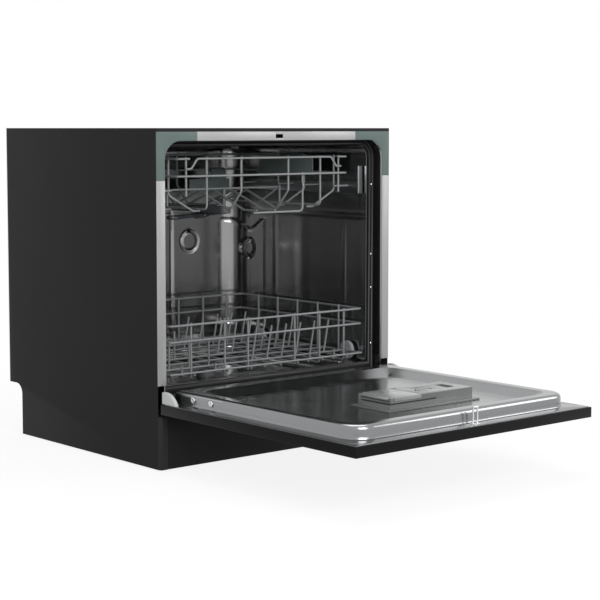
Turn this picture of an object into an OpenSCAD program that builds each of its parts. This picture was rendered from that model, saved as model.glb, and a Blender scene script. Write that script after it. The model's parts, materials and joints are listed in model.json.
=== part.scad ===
// Countertop dishwasher: a cabinet with a drop-down door, two sliding racks and the wash system.
// Lengths are in millimetres. +X is to the right, +Y to the back and +Z up. The door is drawn
// open. In the modules y = 0 is the front plane of the cabinet's frame, and set_down() moves
// everything so that the origin lies in the middle of the footprint with the door open.

/* [Cabinet] */
// Width over the side panels
cab_w = 550; // [530:1:580]
// Depth from the front frame to the outside of the back panel
cab_d = 497; // [485:1:520]
// Height from the worktop to the top panel
cab_h = 595; // [585:1:620]
// Thickness of the steel sheet
sheet = 1.2; // [0.8:0.1:1.4]
// Gap between the worktop and the lower edges of the panels
foot_gap = 2; // [1:0.5:3]
// Radius of a levelling foot
foot_r = 14; // [8:1:18]
// Depth of the hose notch at the lower back
notch_d = 45; // [35:1:50]
// Height of the hose notch
notch_h = 100; // [90:1:105]
// Radius in the corner of the hose notch
notch_r = 20; // [8:1:26]

/* [Front] */
// Width of the frame strips beside the opening
strip_w = 18; // [14:1:22]
// Height of the frame strip above the opening
strip_h = 16; // [13:1:20]
// Height of the top panel's front lip
lip_h = 6; // [4:1:8]
// Half the width of the strip between the frame corners
strip_half = 187; // [150:1:210]
// Height of the frame corners, from the top of the frame down
corner_h = 84.5; // [60:0.5:110]
// Height above the worktop at which the frame strips end
frame_foot = 149; // [145:1:155]
// Radius of the opening's upper corners
mouth_r = 34; // [26:1:40]
// Top edge of the plinth above the worktop
plinth_top = 94.5; // [88:0.5:94.5]
// Width of the corner posts beside the plinth
post_w = 16; // [12:1:20]

/* [Door] */
// Thickness of the outer panel
door_t = 17.5; // [15:0.5:18]
// Gap between the closed door and the front frame
door_gap = 2; // [1.5:0.1:3]
// Height of the hinge axis above the worktop
pivot_z = 104.5; // [104:0.1:106]
// Distance of the hinge axis in front of the frame
pivot_out = 15.5; // [15:0.1:16]
// Radius of the hinge pins
pin_r = 4; // [3:0.1:4.5]
// Depth to which the closed door's liner reaches into the tub
liner_in = 22; // [16:0.5:23]
// Thickness of the liner's sheet
liner_t = 1; // [0.8:0.1:1.2]
// Width of the flat band around the liner's tray
band_w = 24; // [16:1:34]
// Height of the liner's band above its tray
tray_drop = 13; // [8:0.5:16]
// Radius of the quarter-round covers at the hinges
cover_r = 36; // [30:0.5:38]

/* [Tub] */
// Step from the opening's side to the tub's side wall
step_w = 13; // [11:1:15]
// Depth of the front section that holds the gasket
step_y = 31; // [29:1:34]
// Height of the wheel ledge above the worktop
ledge_z = 142.5; // [142.5:0.5:146]
// Depth of the basin below the wheel ledge
basin_drop = 27.5; // [24:0.5:29]
// Radius of the tub's upright rear corners
rear_r = 45; // [30:1:60]
// Space between the tub's back wall and the back panel
rear_space = 57; // [50:1:66]

/* [Lower rack] */
// Radius of the rack wires
wire_r = 2; // [1.5:0.1:2.2]
// Height of the rack's top wire above the worktop
low_top = 247; // [230:1:270]
// Height of the rack's second wire
low_mid = 218; // [205:1:225]
// Gap between the lower rack's wires and the tub's side wall
low_side_gap = 13; // [13:0.5:16]
// Radius of the rack's wheels
wheel_r = 18; // [14:0.5:18]
// Height of the plate tines
tine_h = 62; // [40:1:68]
// Distance from one plate tine to the next
tine_pitch = 36; // [28:1:36]

/* [Upper rack] */
// Gap between the upper basket's wires and the tub's side wall
up_side = 43; // [38:1:54]
// Distance from the tub's ceiling down to the upper rack's top wire
up_drop = 22; // [20:1:30]
// Distance from the top wire down to the second wire
up_mid_drop = 31; // [25:1:36]
// Distance from the top wire down to the runners' middle line
rail_drop = 61; // [58:1:66]
// Radius of the rollers on the tub's side walls
roller_r = 8.7; // [7:0.1:9.5]

/* [Wash system] */
// Length of a blade of the lower spray arm, from its axis
low_arm_l = 168; // [120:1:172]
// Length of a blade of the upper spray arm, from its axis
up_arm_l = 128; // [100:1:150]
// Turn of the upper spray arm from the side-to-side line, in degrees
up_arm_turn = 27; // [0:1:90]
// Distance of the lower spray arm's axis behind the front frame
arm_y = 226; // [222:1:228]
// Distance of the upper spray arm's axis behind the front frame
up_arm_y = 242; // [236:1:250]
// Radius of the twist-out filter cup
filter_r = 32; // [24:1:36]

/* [Dispenser] */
// Length of the dispenser's box
disp_l = 196; // [185:1:206]
// Width of the dispenser's box
disp_w = 78; // [70:1:84]
// Height of the dispenser's top above the tray
disp_h = 22; // [19:0.5:22]
// Length of the detergent lid
lid_l = 68; // [60:1:74]
// Radius of the rinse aid cap
cap_r = 17.5; // [12:0.5:20]

/* [Hidden] */
$fn = 48;

// How far a cutting body reaches past the face that it cuts
over = 1;
// Clearances: a shaft in its bore, two pieces that slide past each other, and two bars of wire
// that are welded together
fit = 0.05;
slide = 0.3;
touch = 0.02;

// Cabinet
half = cab_w / 2;
skin_in = half - sheet;
panel_top = cab_h - sheet;
back_in = cab_d - sheet;
notch_y = cab_d - notch_d;
pan_floor = 4;
pan_wall = 3;
pan_half = skin_in - 0.5;
shelf_top = plinth_top + 0.5;
shelf_back = step_y + 2;
foot_in = 40;
foot_stem_r = 4;

// Opening and tub
mouth_half = half - strip_w;
frame_top = cab_h - lip_h;
mouth_top = frame_top - strip_h;
flange_front = sheet;
flange_back = 2 * sheet;
tub_half = mouth_half - step_w;
tub_top = mouth_top - 10;
tub_r = mouth_r - 10;
tub_back = cab_d - rear_space;
lip_foot = 105;
basin_z = ledge_z - basin_drop;
basin_half = tub_half - 32;
basin_front = 48;
basin_back = tub_back - 36;
basin_r = 30;
rib_x = basin_half + sheet + 9;
rib_t = 4;

// Door, in the open position: a point that is at height z and depth y when the door is closed
// lies at door_y(z), door_z(y) when it is open
function door_y(z) = -pivot_out - (z - pivot_z);
function door_z(y) = pivot_z + y + pivot_out;
door_in = door_z(-door_gap);
door_out = door_in - door_t;
door_heel = door_y(plinth_top + 1.5);
door_tip = door_y(cab_h);
door_half = half - 0.5;
door_skin = 3;
door_rim = 12;
liner_top = door_z(liner_in);
liner_heel = door_y(lip_foot);
liner_tip = door_y(mouth_top - 4.5);
liner_half = mouth_half - 7;
tray_z = liner_top - tray_drop;
tray_slope = 36;
tray_r = 30;
band_heel = 36;
flange_edge = 3.5;

// Hinges
arm_t = 4;
arm_x = liner_half - liner_t - arm_t;
bracket_x = liner_half + 1;
bracket_boss = pin_r + 1.5;
slot_lo = arm_x - 1;
slot_hi = bracket_x + arm_t + 1;
slot_deep = door_y(pivot_z) - 7.5;
screw_y = [-68, -118];
screw_z = 131;
screw_r = 2;
screw_head_r = 5.5;

// Latch
latch_z = frame_top - 8.5;
loop_y = door_y(latch_z);
loop_r = 1.5;
loop_half = 5;
loop_in = 27;
hook_turn = 26;
hook_y = loop_in + 9;
hook_z = latch_z + 3.5;
hook_pin_r = 1.5;
lock_half = 28;
slot_half = 8.5;
slot_h = 7;

// Racks: the middle lines of two wires that are welded side by side lie weld apart, and a wire
// that ends on another's side stops butt short of that one's middle line
weld = 2 * wire_r + touch;
butt = weld / 2;
low_half = tub_half - low_side_gap - wire_r;
low_front = liner_in + 5;
low_back = tub_back - 40;
low_floor = ledge_z + 18;
low_under = low_floor - weld;
low_foot = ledge_z + 8.5;
foot_deep = 32;
foot_up = 16;
low_posts = [-180, -104, -50, 62, 124, 186];
low_footed = [true, true, false, false, true, true];
low_runs = [-14, 24, 92, 155];
low_cross = 6;
tine_lean = 12;
function low_row(i) = low_front + (low_back - low_front) * i / (low_cross + 1);
wheel_z = ledge_z + wheel_r + slide;
wheel_w = 7;
wheel_x = low_half + wire_r + 0.5;
wheel_front = 75;
wheel_rear = tub_back - 95;
axle_r = 3;
axle_hold = 7;
up_half = tub_half - up_side;
up_top = tub_top - up_drop;
up_mid = up_top - up_mid_drop;
up_front = 38;
up_back = tub_back - 45;
rail_z = up_top - rail_drop;
rail_t = 1.5;
rail_x = tub_half - 14;
rail_w = 10.5;
rail_half = roller_r + slide;
rail_front = up_front + 4;
rail_back = up_back + 5;
stop_top = up_top - 19;
roller_w = 8;
roller_x = rail_x + rail_t + 1.5;
roller_front = 60;
roller_rear = 110;
roller_pin_r = 3;
carrier_x = rail_x + rail_w + 1;
up_ridge = up_top - 64;
ridge_y = up_front + 128;
ridge_z = up_ridge + 1.03 * weld;
valley_y = up_front + 38;
up_valley = up_top - 95;
up_low = up_valley + 4;
up_bend = up_top - 61;
up_inner = 135;
up_stop = 91;
shelf_gap = weld + wire_r + 0.6;
shelf_t = 2.4;
shelf_start = up_half - 60;
shelf_end = up_half - 23;
side_wires = [up_front + 35, up_front + 122, up_front + 202, up_back - 40];

// Wash system
tower_r = 10;
low_arm_z = basin_z + 16;
arm_t2 = 9;
filter_x = 78;
filter_y = 150;
sump_r = filter_r + 12;
salt_x = -140;
salt_y = 318;
salt_r = 32;
pump_z = 56;
pump_end = -150;
drain_in = filter_x + 70;
drain_end = rib_x - 17;
heater_in = filter_y + 44;
heater_x = -12;
heater_out = arm_y + 24;
pipe_r = 8;
pipe_z = basin_z - sheet - 12;
duct_half = 12;
duct_top = up_valley;
duct_low = duct_top - 12;
duct_front = ridge_y - 2;
dock_z = (duct_top + duct_low) / 2;
up_hub_r = 8;
up_arm_z = duct_low - 10;

// Dispenser
disp_x = -66;
disp_near = -362;
disp_far = disp_near + disp_w;
disp_end = disp_x + disp_l;
disp_top = tray_z + disp_h;
disp_deep = door_in - 12;
seam_z = tray_z + 11.7;
seam_w = 2;
ear_w = 5;
lid_t = 5;
lid_x = disp_x + 5;
lid_z = disp_top - lid_t / 2 - 1;
lid_pin_r = 1.5;
cup_x = disp_x + 12;
cup_l = lid_l - 14;
cup_deep = 26;
cap_x = lid_x + lid_l + 38;
cap_y = (disp_near + disp_far) / 2;
latch_x = disp_end - 38;
latch_w = 12;
latch_move = 5;

// Controls on the door's outer face
fascia_half = 150;
fascia_near = door_tip + 14;
fascia_far = fascia_near + 32;
fascia_t = 1.5;
button_r = 6.5;
button_y = (fascia_near + fascia_far) / 2;
button_move = 1.2;
button_proud = 0.6;
board_gap = 1.6;

// ---------------------------------------------------------------- helpers

// Moves the model so that its origin is in the middle of the footprint with the door open
module set_down()
    translate([0, (-door_tip - cab_d) / 2, 0]) children();

// Extrudes an outline in x and z from the depth y0 to y1
module along_y(y0, y1)
    translate([0, y1, 0]) rotate([90, 0, 0]) linear_extrude(y1 - y0) children();

// Extrudes an outline in y and z from x0 to x1
module along_x(x0, x1)
    translate([x0, 0, 0]) rotate([90, 0, 90]) linear_extrude(x1 - x0) children();

// A box from one corner to the other
module block(lo, hi)
    translate(lo) cube(hi - lo);

// Draws the children on the right and mirrored on the left
module both_sides() {
    children();
    mirror([1, 0, 0]) children();
}

// A rectangle whose two upper corners are round
module arch(half_w, z0, z1, r) {
    translate([-half_w, z0]) square([2 * half_w, z1 - r - z0]);
    translate([-half_w + r, z0]) square([2 * (half_w - r), z1 - z0]);
    for (s = [-1, 1])
        translate([s * (half_w - r), z1 - r]) circle(r);
}

// A rectangle with four round corners
module soft_rect(x0, y0, x1, y1, r) {
    translate([x0 + r, y0]) square([x1 - x0 - 2 * r, y1 - y0]);
    translate([x0, y0 + r]) square([x1 - x0, y1 - y0 - 2 * r]);
    for (x = [x0 + r, x1 - r])
        for (y = [y0 + r, y1 - r])
            translate([x, y]) circle(r);
}

// A round bar along X, Y or Z
module bar_x(x0, x1, y, z, r)
    translate([x0, y, z]) rotate([0, 90, 0]) cylinder(r = r, h = x1 - x0);
module bar_y(y0, y1, x, z, r)
    translate([x, y0, z]) rotate([-90, 0, 0]) cylinder(r = r, h = y1 - y0);
module bar_z(z0, z1, x, y, r)
    translate([x, y, z0]) cylinder(r = r, h = z1 - z0);

// A straight wire between two points
module wire(a, b, r = wire_r, extra = 0) {
    d = b - a;
    len = norm(d);
    translate(a)
        rotate([0, acos(d.z / len), atan2(d.y, d.x)])
            translate([0, 0, -extra]) cylinder(r = r, h = len + 2 * extra, $fn = 24);
}

// All that lies on the side of a point to which the direction d points
module beyond(point, d) {
    reach = 600;
    translate(point)
        rotate([0, acos(d.z / norm(d)), atan2(d.y, d.x)])
            translate([-reach, -reach, touch / 2]) cube(2 * reach);
}

function heading(a, b) = (b - a) / norm(b - a);

// A bent wire along a list of points, mitred at its bends. Its stretches lie end to end.
module wire_path(points, closed = false) {
    n = len(points);
    for (i = [0 : closed ? n - 1 : n - 2]) {
        a = points[i];
        b = points[(i + 1) % n];
        d = heading(a, b);
        before = i > 0 || closed ? heading(points[(i + n - 1) % n], a) : d;
        after = i < n - 2 || closed ? heading(b, points[(i + 2) % n]) : d;
        intersection() {
            wire(a, b, extra = 2 * wire_r);
            beyond(a, d + before);
            beyond(b, -d - after);
        }
    }
}

// ---------------------------------------------------------------- cabinet

// The hose notch in y and z, grown by the sheet where it is the outside of the sheet
module notch_outline(grow) {
    y = notch_y - grow;
    z = notch_h + grow;
    r = notch_r + grow;
    translate([y + r, -over]) square([notch_d + grow, z + over]);
    translate([y, -over]) square([r, z - r + over]);
    translate([y + r, z - r]) circle(r);
}

module side_panel() {
    along_x(skin_in, half)
        difference() {
            translate([sheet, foot_gap]) square([back_in - sheet, panel_top - foot_gap]);
            notch_outline(0);
        }
    block([skin_in - 12, back_in - sheet, notch_h + sheet], [skin_in, back_in, panel_top]);
}

module side_panel_right()
    color("#2e2e2e") set_down() side_panel();

module side_panel_left()
    color("#2e2e2e") set_down() mirror([1, 0, 0]) side_panel();

module top_panel()
    color("#2a2a2a") set_down() {
        block([-half, sheet, panel_top], [half, cab_d, cab_h]);
        block([-half, 0, frame_top], [half, sheet, cab_h]);
    }

module back_panel()
    color("#8e9091") set_down()
        difference() {
            block([-half, back_in, notch_h], [half, cab_d, panel_top]);
            // Air slots beside the middle
            for (s = [-1, 1])
                for (i = [0 : 5])
                    translate([s * 160, back_in - over, notch_h + 60 + 14 * i])
                        block([-35, 0, 0], [35, sheet + 2 * over, 5]);
        }

module rear_lower_panel()
    color("#7c7e80") set_down()
        difference() {
            along_x(-skin_in, skin_in)
                intersection() {
                    difference() {
                        notch_outline(sheet);
                        notch_outline(0);
                    }
                    translate([0, foot_gap]) square([back_in, cab_h]);
                }
            bar_y(notch_y - 4, notch_y + over, valve_x, port_z, valve_r + port_collar + slide);
            bar_y(notch_y - 4, notch_y + over, drain_x, port_z, spigot_r + port_collar + slide);
            bar_y(notch_y - 4, notch_y + over, gland_x, port_z, gland_r + slide);
        }

// Ports in the hose notch
port_z = 48;
port_collar = 3;
valve_x = half - 85;
valve_r = 13;
drain_x = half - 155;
spigot_r = 10;
gland_x = 85 - half;
gland_r = 9;

module base_pan()
    color("#3a3a3c") set_down()
        difference() {
            union() {
                block([-pan_half, sheet + 2, pan_floor],
                      [pan_half, notch_y - sheet - 0.3, pan_floor + pan_wall]);
                both_sides()
                    block([pan_half - pan_wall, sheet + 2, pan_floor],
                          [pan_half, notch_y - sheet - 0.3, shelf_top - 3]);
                block([-pan_half, sheet + 2, pan_floor], [pan_half, sheet + 2 + pan_wall, shelf_top - 3]);
                block([-pan_half, sheet + 0.3, shelf_top - 3], [pan_half, shelf_back, shelf_top]);
                block([-pan_half, notch_y - sheet - 0.3 - pan_wall, pan_floor],
                      [pan_half, notch_y - sheet - 0.3, notch_h - notch_r]);
                // Ribs that carry the tub
                both_sides()
                    block([rib_x, shelf_back + 8, pan_floor], [rib_x + rib_t, tub_back, ledge_z - sheet]);
                // Posts that carry the hinge brackets
                both_sides()
                    block([bracket_x + arm_t, shelf_back + 3, pan_floor],
                          [bracket_x + arm_t + 7, shelf_back + 79, pivot_z - 0.3]);
                // Pads under the pumps and the softener
                block([pump_end, filter_y - 10, pan_floor], [pump_end + 100, filter_y + 10, pump_z - 36]);
                block([drain_in + 14, filter_y - 6, pan_floor],
                      [drain_end - 20, filter_y + 6, pump_z - 22]);
            }
            for (x = [-half + foot_in, half - foot_in])
                for (y = [foot_in, notch_y - foot_in])
                    translate([x, y, 0]) cylinder(r = foot_stem_r + fit, h = pan_floor + pan_wall + over);
            bar_y(notch_y - 8, notch_y + over, valve_x, port_z, valve_r + port_collar + slide);
            bar_y(notch_y - 8, notch_y + over, drain_x, port_z, spigot_r + port_collar + slide);
            bar_y(notch_y - 8, notch_y + over, gland_x, port_z, gland_r + slide);
        }

module levelling_feet()
    color("#1a1a1a") set_down()
        for (x = [-half + foot_in, half - foot_in])
            for (y = [foot_in, notch_y - foot_in])
                translate([x, y, 0]) {
                    cylinder(r = foot_r, h = pan_floor);
                    cylinder(r = foot_stem_r, h = pan_floor + 10);
                }

module plinth_panel()
    color("#1e1e1e") set_down()
        difference() {
            block([-half + post_w + 0.2, -5, foot_gap], [half - post_w - 0.2, sheet + 0.3, plinth_top]);
            block([-half + post_w + 2.2, -3, foot_gap + 2],
                  [half - post_w - 2.2, sheet + 0.3 + over, plinth_top - 2]);
        }

module plinth_corner_posts()
    color("#343434") set_down()
        both_sides()
            translate([0, 0, foot_gap]) linear_extrude(plinth_top - foot_gap)
                difference() {
                    translate([half - post_w, -6]) square([post_w, 6 + sheet]);
                    difference() {
                        translate([half - 6, -6]) square([6 + over, 6]);
                        translate([half - 6, 0]) circle(6);
                    }
                }

// ---------------------------------------------------------------- front frame

module mouth()
    arch(mouth_half, 0, mouth_top, mouth_r);

// The short pieces of a strip below and above the latch's slot
module latch_bridges()
    for (z = [[mouth_top, latch_z - slot_h / 2], [latch_z + slot_h / 2, frame_top]])
        translate([touch - slot_half, z[0]]) square([2 * (slot_half - touch), z[1] - z[0]]);

module front_trim_top()
    color("#a8a8a8") set_down()
        along_y(0, sheet) {
            both_sides() translate([slot_half, mouth_top]) square([strip_half - slot_half, strip_h]);
            latch_bridges();
        }

module front_trim_corners()
    color("#6f7a78") set_down()
        both_sides()
            along_y(0, sheet)
                difference() {
                    translate([strip_half, frame_top - corner_h]) square([half - strip_half, corner_h]);
                    mouth();
                }

module front_trim_sides()
    color("#a8a8a8") set_down()
        both_sides()
            along_y(0, sheet)
                translate([mouth_half, frame_foot])
                    square([strip_w, frame_top - corner_h - frame_foot]);

// ---------------------------------------------------------------- tub

// The main hollow of the tub, or its outside when grown by the sheet
module tub_body(grow, y_front)
    intersection() {
        along_y(y_front, tub_back + grow)
            arch(tub_half + grow, ledge_z - grow, tub_top + grow, tub_r + grow);
        translate([0, 0, ledge_z - grow - over])
            linear_extrude(tub_top - ledge_z + 2 * grow + 2 * over)
                arch(tub_half + grow, y_front - over, tub_back + grow, rear_r + grow);
    }

module basin_body(grow, top)
    translate([0, 0, basin_z - grow]) linear_extrude(top - basin_z + grow)
        soft_rect(-basin_half - grow, basin_front - grow, basin_half + grow, basin_back + grow,
                  basin_r + grow);

// The side walls and the ceiling in one bent sheet, with the stepped front strip
module tub_wrap()
    difference() {
        union() {
            tub_body(sheet, step_y);
            along_y(flange_back + touch, step_y + sheet)
                arch(mouth_half + sheet, lip_foot, mouth_top + sheet, mouth_r + sheet);
        }
        tub_body(0, step_y - over);
        along_y(0, step_y) arch(mouth_half, lip_foot - over, mouth_top, mouth_r);
        // The floor pan and the back panel are welded on here
        block([-skin_in, step_y + sheet, lip_foot - over], [skin_in, back_in, ledge_z + touch]);
        block([-skin_in, tub_back - rear_r, lip_foot - over], [skin_in, back_in, frame_top]);
    }

module tub_back_panel()
    difference() {
        intersection() {
            tub_body(sheet, step_y);
            block([-skin_in, tub_back - rear_r + touch, ledge_z + touch], [skin_in, back_in, frame_top]);
        }
        tub_body(0, step_y - over);
        // Hole of the dock
        bar_y(tub_back - over, tub_back + 3, 0, dock_z, 10);
    }

module tub_floor()
    color("#8b8d8e") set_down() difference() {
        union() {
            translate([0, 0, ledge_z - sheet]) linear_extrude(sheet)
                arch(tub_half + sheet, step_y + sheet + touch, tub_back + sheet, rear_r + sheet);
            basin_body(sheet, ledge_z);
        }
        basin_body(0, ledge_z + over);
        // Sump, spray tower and softener holes
        bar_z(basin_z - 3, basin_z + over, filter_x, filter_y, sump_r);
        bar_z(basin_z - 3, basin_z + over, 0, arm_y, tower_r + 4);
        bar_z(basin_z - 3, basin_z + over, salt_x, salt_y, salt_r - 6);
    }

// The front flange is welded up from uprights, rounded corners and two lengths of top strip
module tub_flange()
    along_y(flange_front, flange_back) {
        both_sides() {
            translate([mouth_half, frame_foot])
                square([skin_in - mouth_half, mouth_top - mouth_r - frame_foot - touch]);
            difference() {
                translate([mouth_half - mouth_r, mouth_top - mouth_r])
                    square([skin_in - mouth_half + mouth_r, frame_top - mouth_top + mouth_r]);
                mouth();
            }
            translate([slot_half, mouth_top])
                square([mouth_half - mouth_r - touch - slot_half, frame_top - mouth_top]);
        }
        latch_bridges();
    }

module tub_shell()
    color("#8b8d8e") set_down() {
        tub_wrap();
        tub_back_panel();
        tub_flange();
    }

module door_gasket()
    color("#161616") set_down()
        along_y(liner_in + 0.5, step_y)
            difference() {
                arch(mouth_half, lip_foot + 13, mouth_top, mouth_r);
                arch(tub_half, ledge_z, tub_top, tub_r);
            }

module roller_carriers()
    color("#55585a") set_down()
        both_sides() {
            block([carrier_x, roller_front - 16, rail_z - 12], [tub_half, roller_rear + 16, rail_z + 12]);
            for (y = [roller_front, roller_rear])
                bar_x(roller_x - 1, carrier_x + 0.5, y, rail_z, roller_pin_r);
        }

module roller_pair(y)
    both_sides()
        difference() {
            bar_x(roller_x, roller_x + roller_w - 0.6, y, rail_z, roller_r);
            bar_x(roller_x - 2, roller_x + roller_w + 2, y, rail_z, roller_pin_r + fit);
        }

module rack_rollers_front()
    color("#b9bcbc") set_down() roller_pair(roller_front);

module rack_rollers_rear()
    color("#b9bcbc") set_down() roller_pair(roller_rear);

// ---------------------------------------------------------------- latch

module door_lock()
    color("#3f4142") set_down() {
        difference() {
            block([-lock_half, flange_back, mouth_top + sheet + 0.4],
                  [lock_half, hook_y + 12, panel_top - 0.4]);
            block([-slot_half, flange_back - over, latch_z - slot_h / 2 - 1],
                  [slot_half, loop_in + 6, latch_z + slot_h / 2 + 1]);
            block([-4, loop_in - 9, latch_z - slot_h / 2 - 1], [4, hook_y + 6, panel_top - 1.6]);
        }
        bar_x(-5, 5, hook_y, hook_z, hook_pin_r);
    }

// The hook swings on the lock's cross pin: its finger drops in front of the striker's bar
module latch_hook()
    color("#c9ccce") set_down()
        translate([0, hook_y, hook_z]) rotate([-hook_turn, 0, 0])
            difference() {
                union() {
                    along_x(-2.5, 2.5)
                        polygon([
                            [3, -1.5], [3, 1.6], [loop_in - hook_y - loop_r - 3.7, 1.6],
                            [loop_in - hook_y - loop_r - 3.7, -6.5],
                                  [loop_in - hook_y - loop_r - 0.5, -6.5],
                            [loop_in - hook_y - loop_r - 0.5, -1.5]
                        ]);
                    bar_x(-2.5, 2.5, 0, 0, 2 * hook_pin_r);
                }
                bar_x(-3, 3, 0, 0, hook_pin_r + fit);
            }

// ---------------------------------------------------------------- hinges

module hinge_brackets()
    color("#9fa2a4") set_down()
        both_sides() {
            along_x(bracket_x, bracket_x + arm_t) {
                translate([-pivot_out, pivot_z]) circle(bracket_boss);
                translate([-pivot_out, shelf_top + 0.4])
                    square([pivot_out + shelf_back + 3, pivot_z - 0.3 - shelf_top - 0.4]);
                translate([shelf_back + 3, pivot_z - 45]) square([76, 44.7]);
            }
            bar_x(arm_x - 0.5, bracket_x + 1, -pivot_out, pivot_z, pin_r);
        }

module door_hinge_arms()
    color("#8f9294") set_down()
        both_sides()
            difference() {
                along_x(arm_x, arm_x + arm_t) {
                    translate([-pivot_out, pivot_z]) circle(pin_r + 2);
                    polygon([
                        [-pivot_out + 4, pivot_z + 2], [liner_heel - 1.8, door_in - 1],
                              [liner_heel - 3, liner_top - 3],
                        [screw_y[1] - 30, liner_top - 3], [screw_y[1] - 30, door_in + 3],
                        [liner_heel - 18, door_in + 3], [-pivot_out - 5, pivot_z - 3]
                    ]);
                }
                bar_x(arm_x - over, arm_x + arm_t + over, -pivot_out, pivot_z, pin_r + fit);
                for (y = screw_y)
                    bar_x(arm_x - over, arm_x + arm_t + over, y, screw_z, screw_r + fit);
            }

// Two helical springs in the base, which balance the door through its hinge brackets
spring_turns = 9;
spring_steps = 12;
spring_sides = 6;
spring_wire = 1.4;
spring_r = 7;
spring_z0 = pan_floor + pan_wall + spring_wire;
spring_z1 = pivot_z - 48;

function spring_point(i, k) =
    let (a = 360 * i / spring_steps, b = 360 * k / spring_sides,
         r = spring_r + spring_wire * cos(b),
         z = spring_z0 + (spring_z1 - spring_z0) * i / (spring_turns * spring_steps))
    [r * cos(a), r * sin(a), z + spring_wire * sin(b)];

module spring() {
    rings = spring_turns * spring_steps;
    n = spring_sides;
    points = [for (i = [0 : rings]) for (k = [0 : n - 1]) spring_point(i, k)];
    sides = [for (i = [0 : rings - 1]) for (k = [0 : n - 1])
        let (k2 = (k + 1) % n) [i * n + k, (i + 1) * n + k, (i + 1) * n + k2, i * n + k2]];
    start = [[for (k = [0 : n - 1]) k]];
    finish = [[for (k = [n - 1 : -1 : 0]) rings * n + k]];
    polyhedron(points = points, faces = concat(sides, start, finish), convexity = 10);
}

module door_springs()
    color("#a4a7a9") set_down()
        both_sides()
            translate([bracket_x - spring_r - spring_wire - 1, shelf_back + 50, 0]) spring();

// ---------------------------------------------------------------- wash system

module sump()
    color("#4a4c4e") set_down()
        difference() {
            union() {
                bar_z(pump_z - 22, basin_z - sheet, filter_x, filter_y, sump_r + 2);
                // Inlet of the wash pump and outlet to the drain pump
                bar_x(0, filter_x, filter_y, pump_z, 13);
                bar_x(filter_x, drain_in, filter_y, pump_z, 13);
            }
            bar_z(pump_z - 19, basin_z + over, filter_x, filter_y, sump_r - 1);
            bar_x(-over, filter_x, filter_y, pump_z, 10);
            bar_x(filter_x, drain_in + over, filter_y, pump_z, 10);
        }

module filter_plate()
    color("#8f9496") set_down()
        difference() {
            bar_z(basin_z, basin_z + 1.5, filter_x, filter_y, sump_r + 18);
            bar_z(basin_z - over, basin_z + 3, filter_x, filter_y, filter_r + slide);
        }

module filter_cup()
    color("#6d7a80") set_down()
        translate([filter_x, filter_y, 0]) {
            difference() {
                union() {
                    bar_z(pump_z + 16, basin_z + 5, 0, 0, filter_r);
                    bar_z(basin_z + 1.8, basin_z + 5, 0, 0, filter_r + 4);
                }
                bar_z(pump_z + 18, basin_z + 5 + over, 0, 0, filter_r - 2.5);
            }
            block([-filter_r + 1, -2, basin_z - 8], [filter_r - 1, 2, basin_z + 9]);
        }

module spray_tower()
    color("#5b5f61") set_down()
        translate([0, arm_y, 0])
            difference() {
                union() {
                    bar_z(basin_z - 6, basin_z, 0, 0, tower_r + 3.7);
                    bar_z(basin_z, low_arm_z - 1, 0, 0, tower_r + 8);
                    bar_z(basin_z, low_arm_z + arm_t2 + 2, 0, 0, tower_r);
                    bar_z(low_arm_z + arm_t2 + 0.8, low_arm_z + arm_t2 + 3, 0, 0, tower_r + 3);
                }
                bar_z(basin_z - 6 - over, low_arm_z + 4, 0, 0, tower_r - 4);
            }

// A two-bladed spray arm about its axis, from z = 0 up, with nozzle holes on both blades
module spray_blades(blade, hub_r, bore_r, thick, nozzles) {
    tip = 12;
    root = hub_r - 2;
    difference() {
        union() {
            cylinder(r = hub_r, h = thick);
            for (s = [0, 180])
                rotate([0, 0, s]) linear_extrude(thick) {
                    polygon([[0, -root], [blade - tip, -tip], [blade - tip, tip], [0, root]]);
                    translate([blade - tip, 0]) circle(tip);
                }
        }
        translate([0, 0, -over]) cylinder(r = bore_r, h = thick + 2 * over);
        for (s = [0, 180])
            rotate([0, 0, s])
                for (i = [1 : nozzles])
                    translate([hub_r + (blade - tip - hub_r) * i / nozzles, (i % 2) * 8 - 4, -over])
                        cylinder(r = 1.6, h = thick + 2 * over);
    }
}

module lower_spray_arm()
    color("#9a9d9e") set_down()
        translate([0, arm_y, low_arm_z]) rotate([0, 0, 20])
            spray_blades(low_arm_l, tower_r + 12, tower_r + fit, arm_t2, 5);

module wash_pump()
    color("#2f3234") set_down() {
        bar_x(-34, 0, filter_y, pump_z, 40);
        bar_x(pump_end, -34, filter_y, pump_z, 36);
        // Outlet to the heater
        bar_y(filter_y + 20, heater_in, heater_x, pump_z + 20, 9);
    }

module flow_heater()
    color("#b4b7b8") set_down()
        difference() {
            union() {
                bar_z(pump_z, basin_z - 8, 0, arm_y, 22);
                bar_z(basin_z - 9, basin_z - 6, 0, arm_y, tower_r + 3);
                bar_y(heater_in, arm_y, heater_x, pump_z + 20, 9);
                bar_y(arm_y, heater_out, 0, pipe_z, pipe_r + 1);
            }
            bar_z(pump_z + 3, basin_z, 0, arm_y, tower_r - 4);
            bar_z(basin_z - 6, basin_z, 0, arm_y, tower_r + 4);
        }

module drain_pump()
    color("#33373a") set_down() {
        bar_x(drain_in, drain_in + 12, filter_y, pump_z, 26);
        bar_x(drain_in + 12, drain_end, filter_y, pump_z, 22);
        bar_z(pump_z + 24, pump_z + 40, drain_in + 6, filter_y, 7);
    }

module water_softener()
    color("#c8cac8") set_down()
        difference() {
            union() {
                block([-basin_half + 12, salt_y - 86, pan_floor + pan_wall],
                      [salt_x + 46, salt_y + 56, basin_z - 14]);
                bar_z(basin_z - 14, basin_z - sheet, salt_x, salt_y, salt_r);
            }
            bar_z(pan_floor + pan_wall + 6, basin_z, salt_x, salt_y, salt_r - 7);
        }

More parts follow.
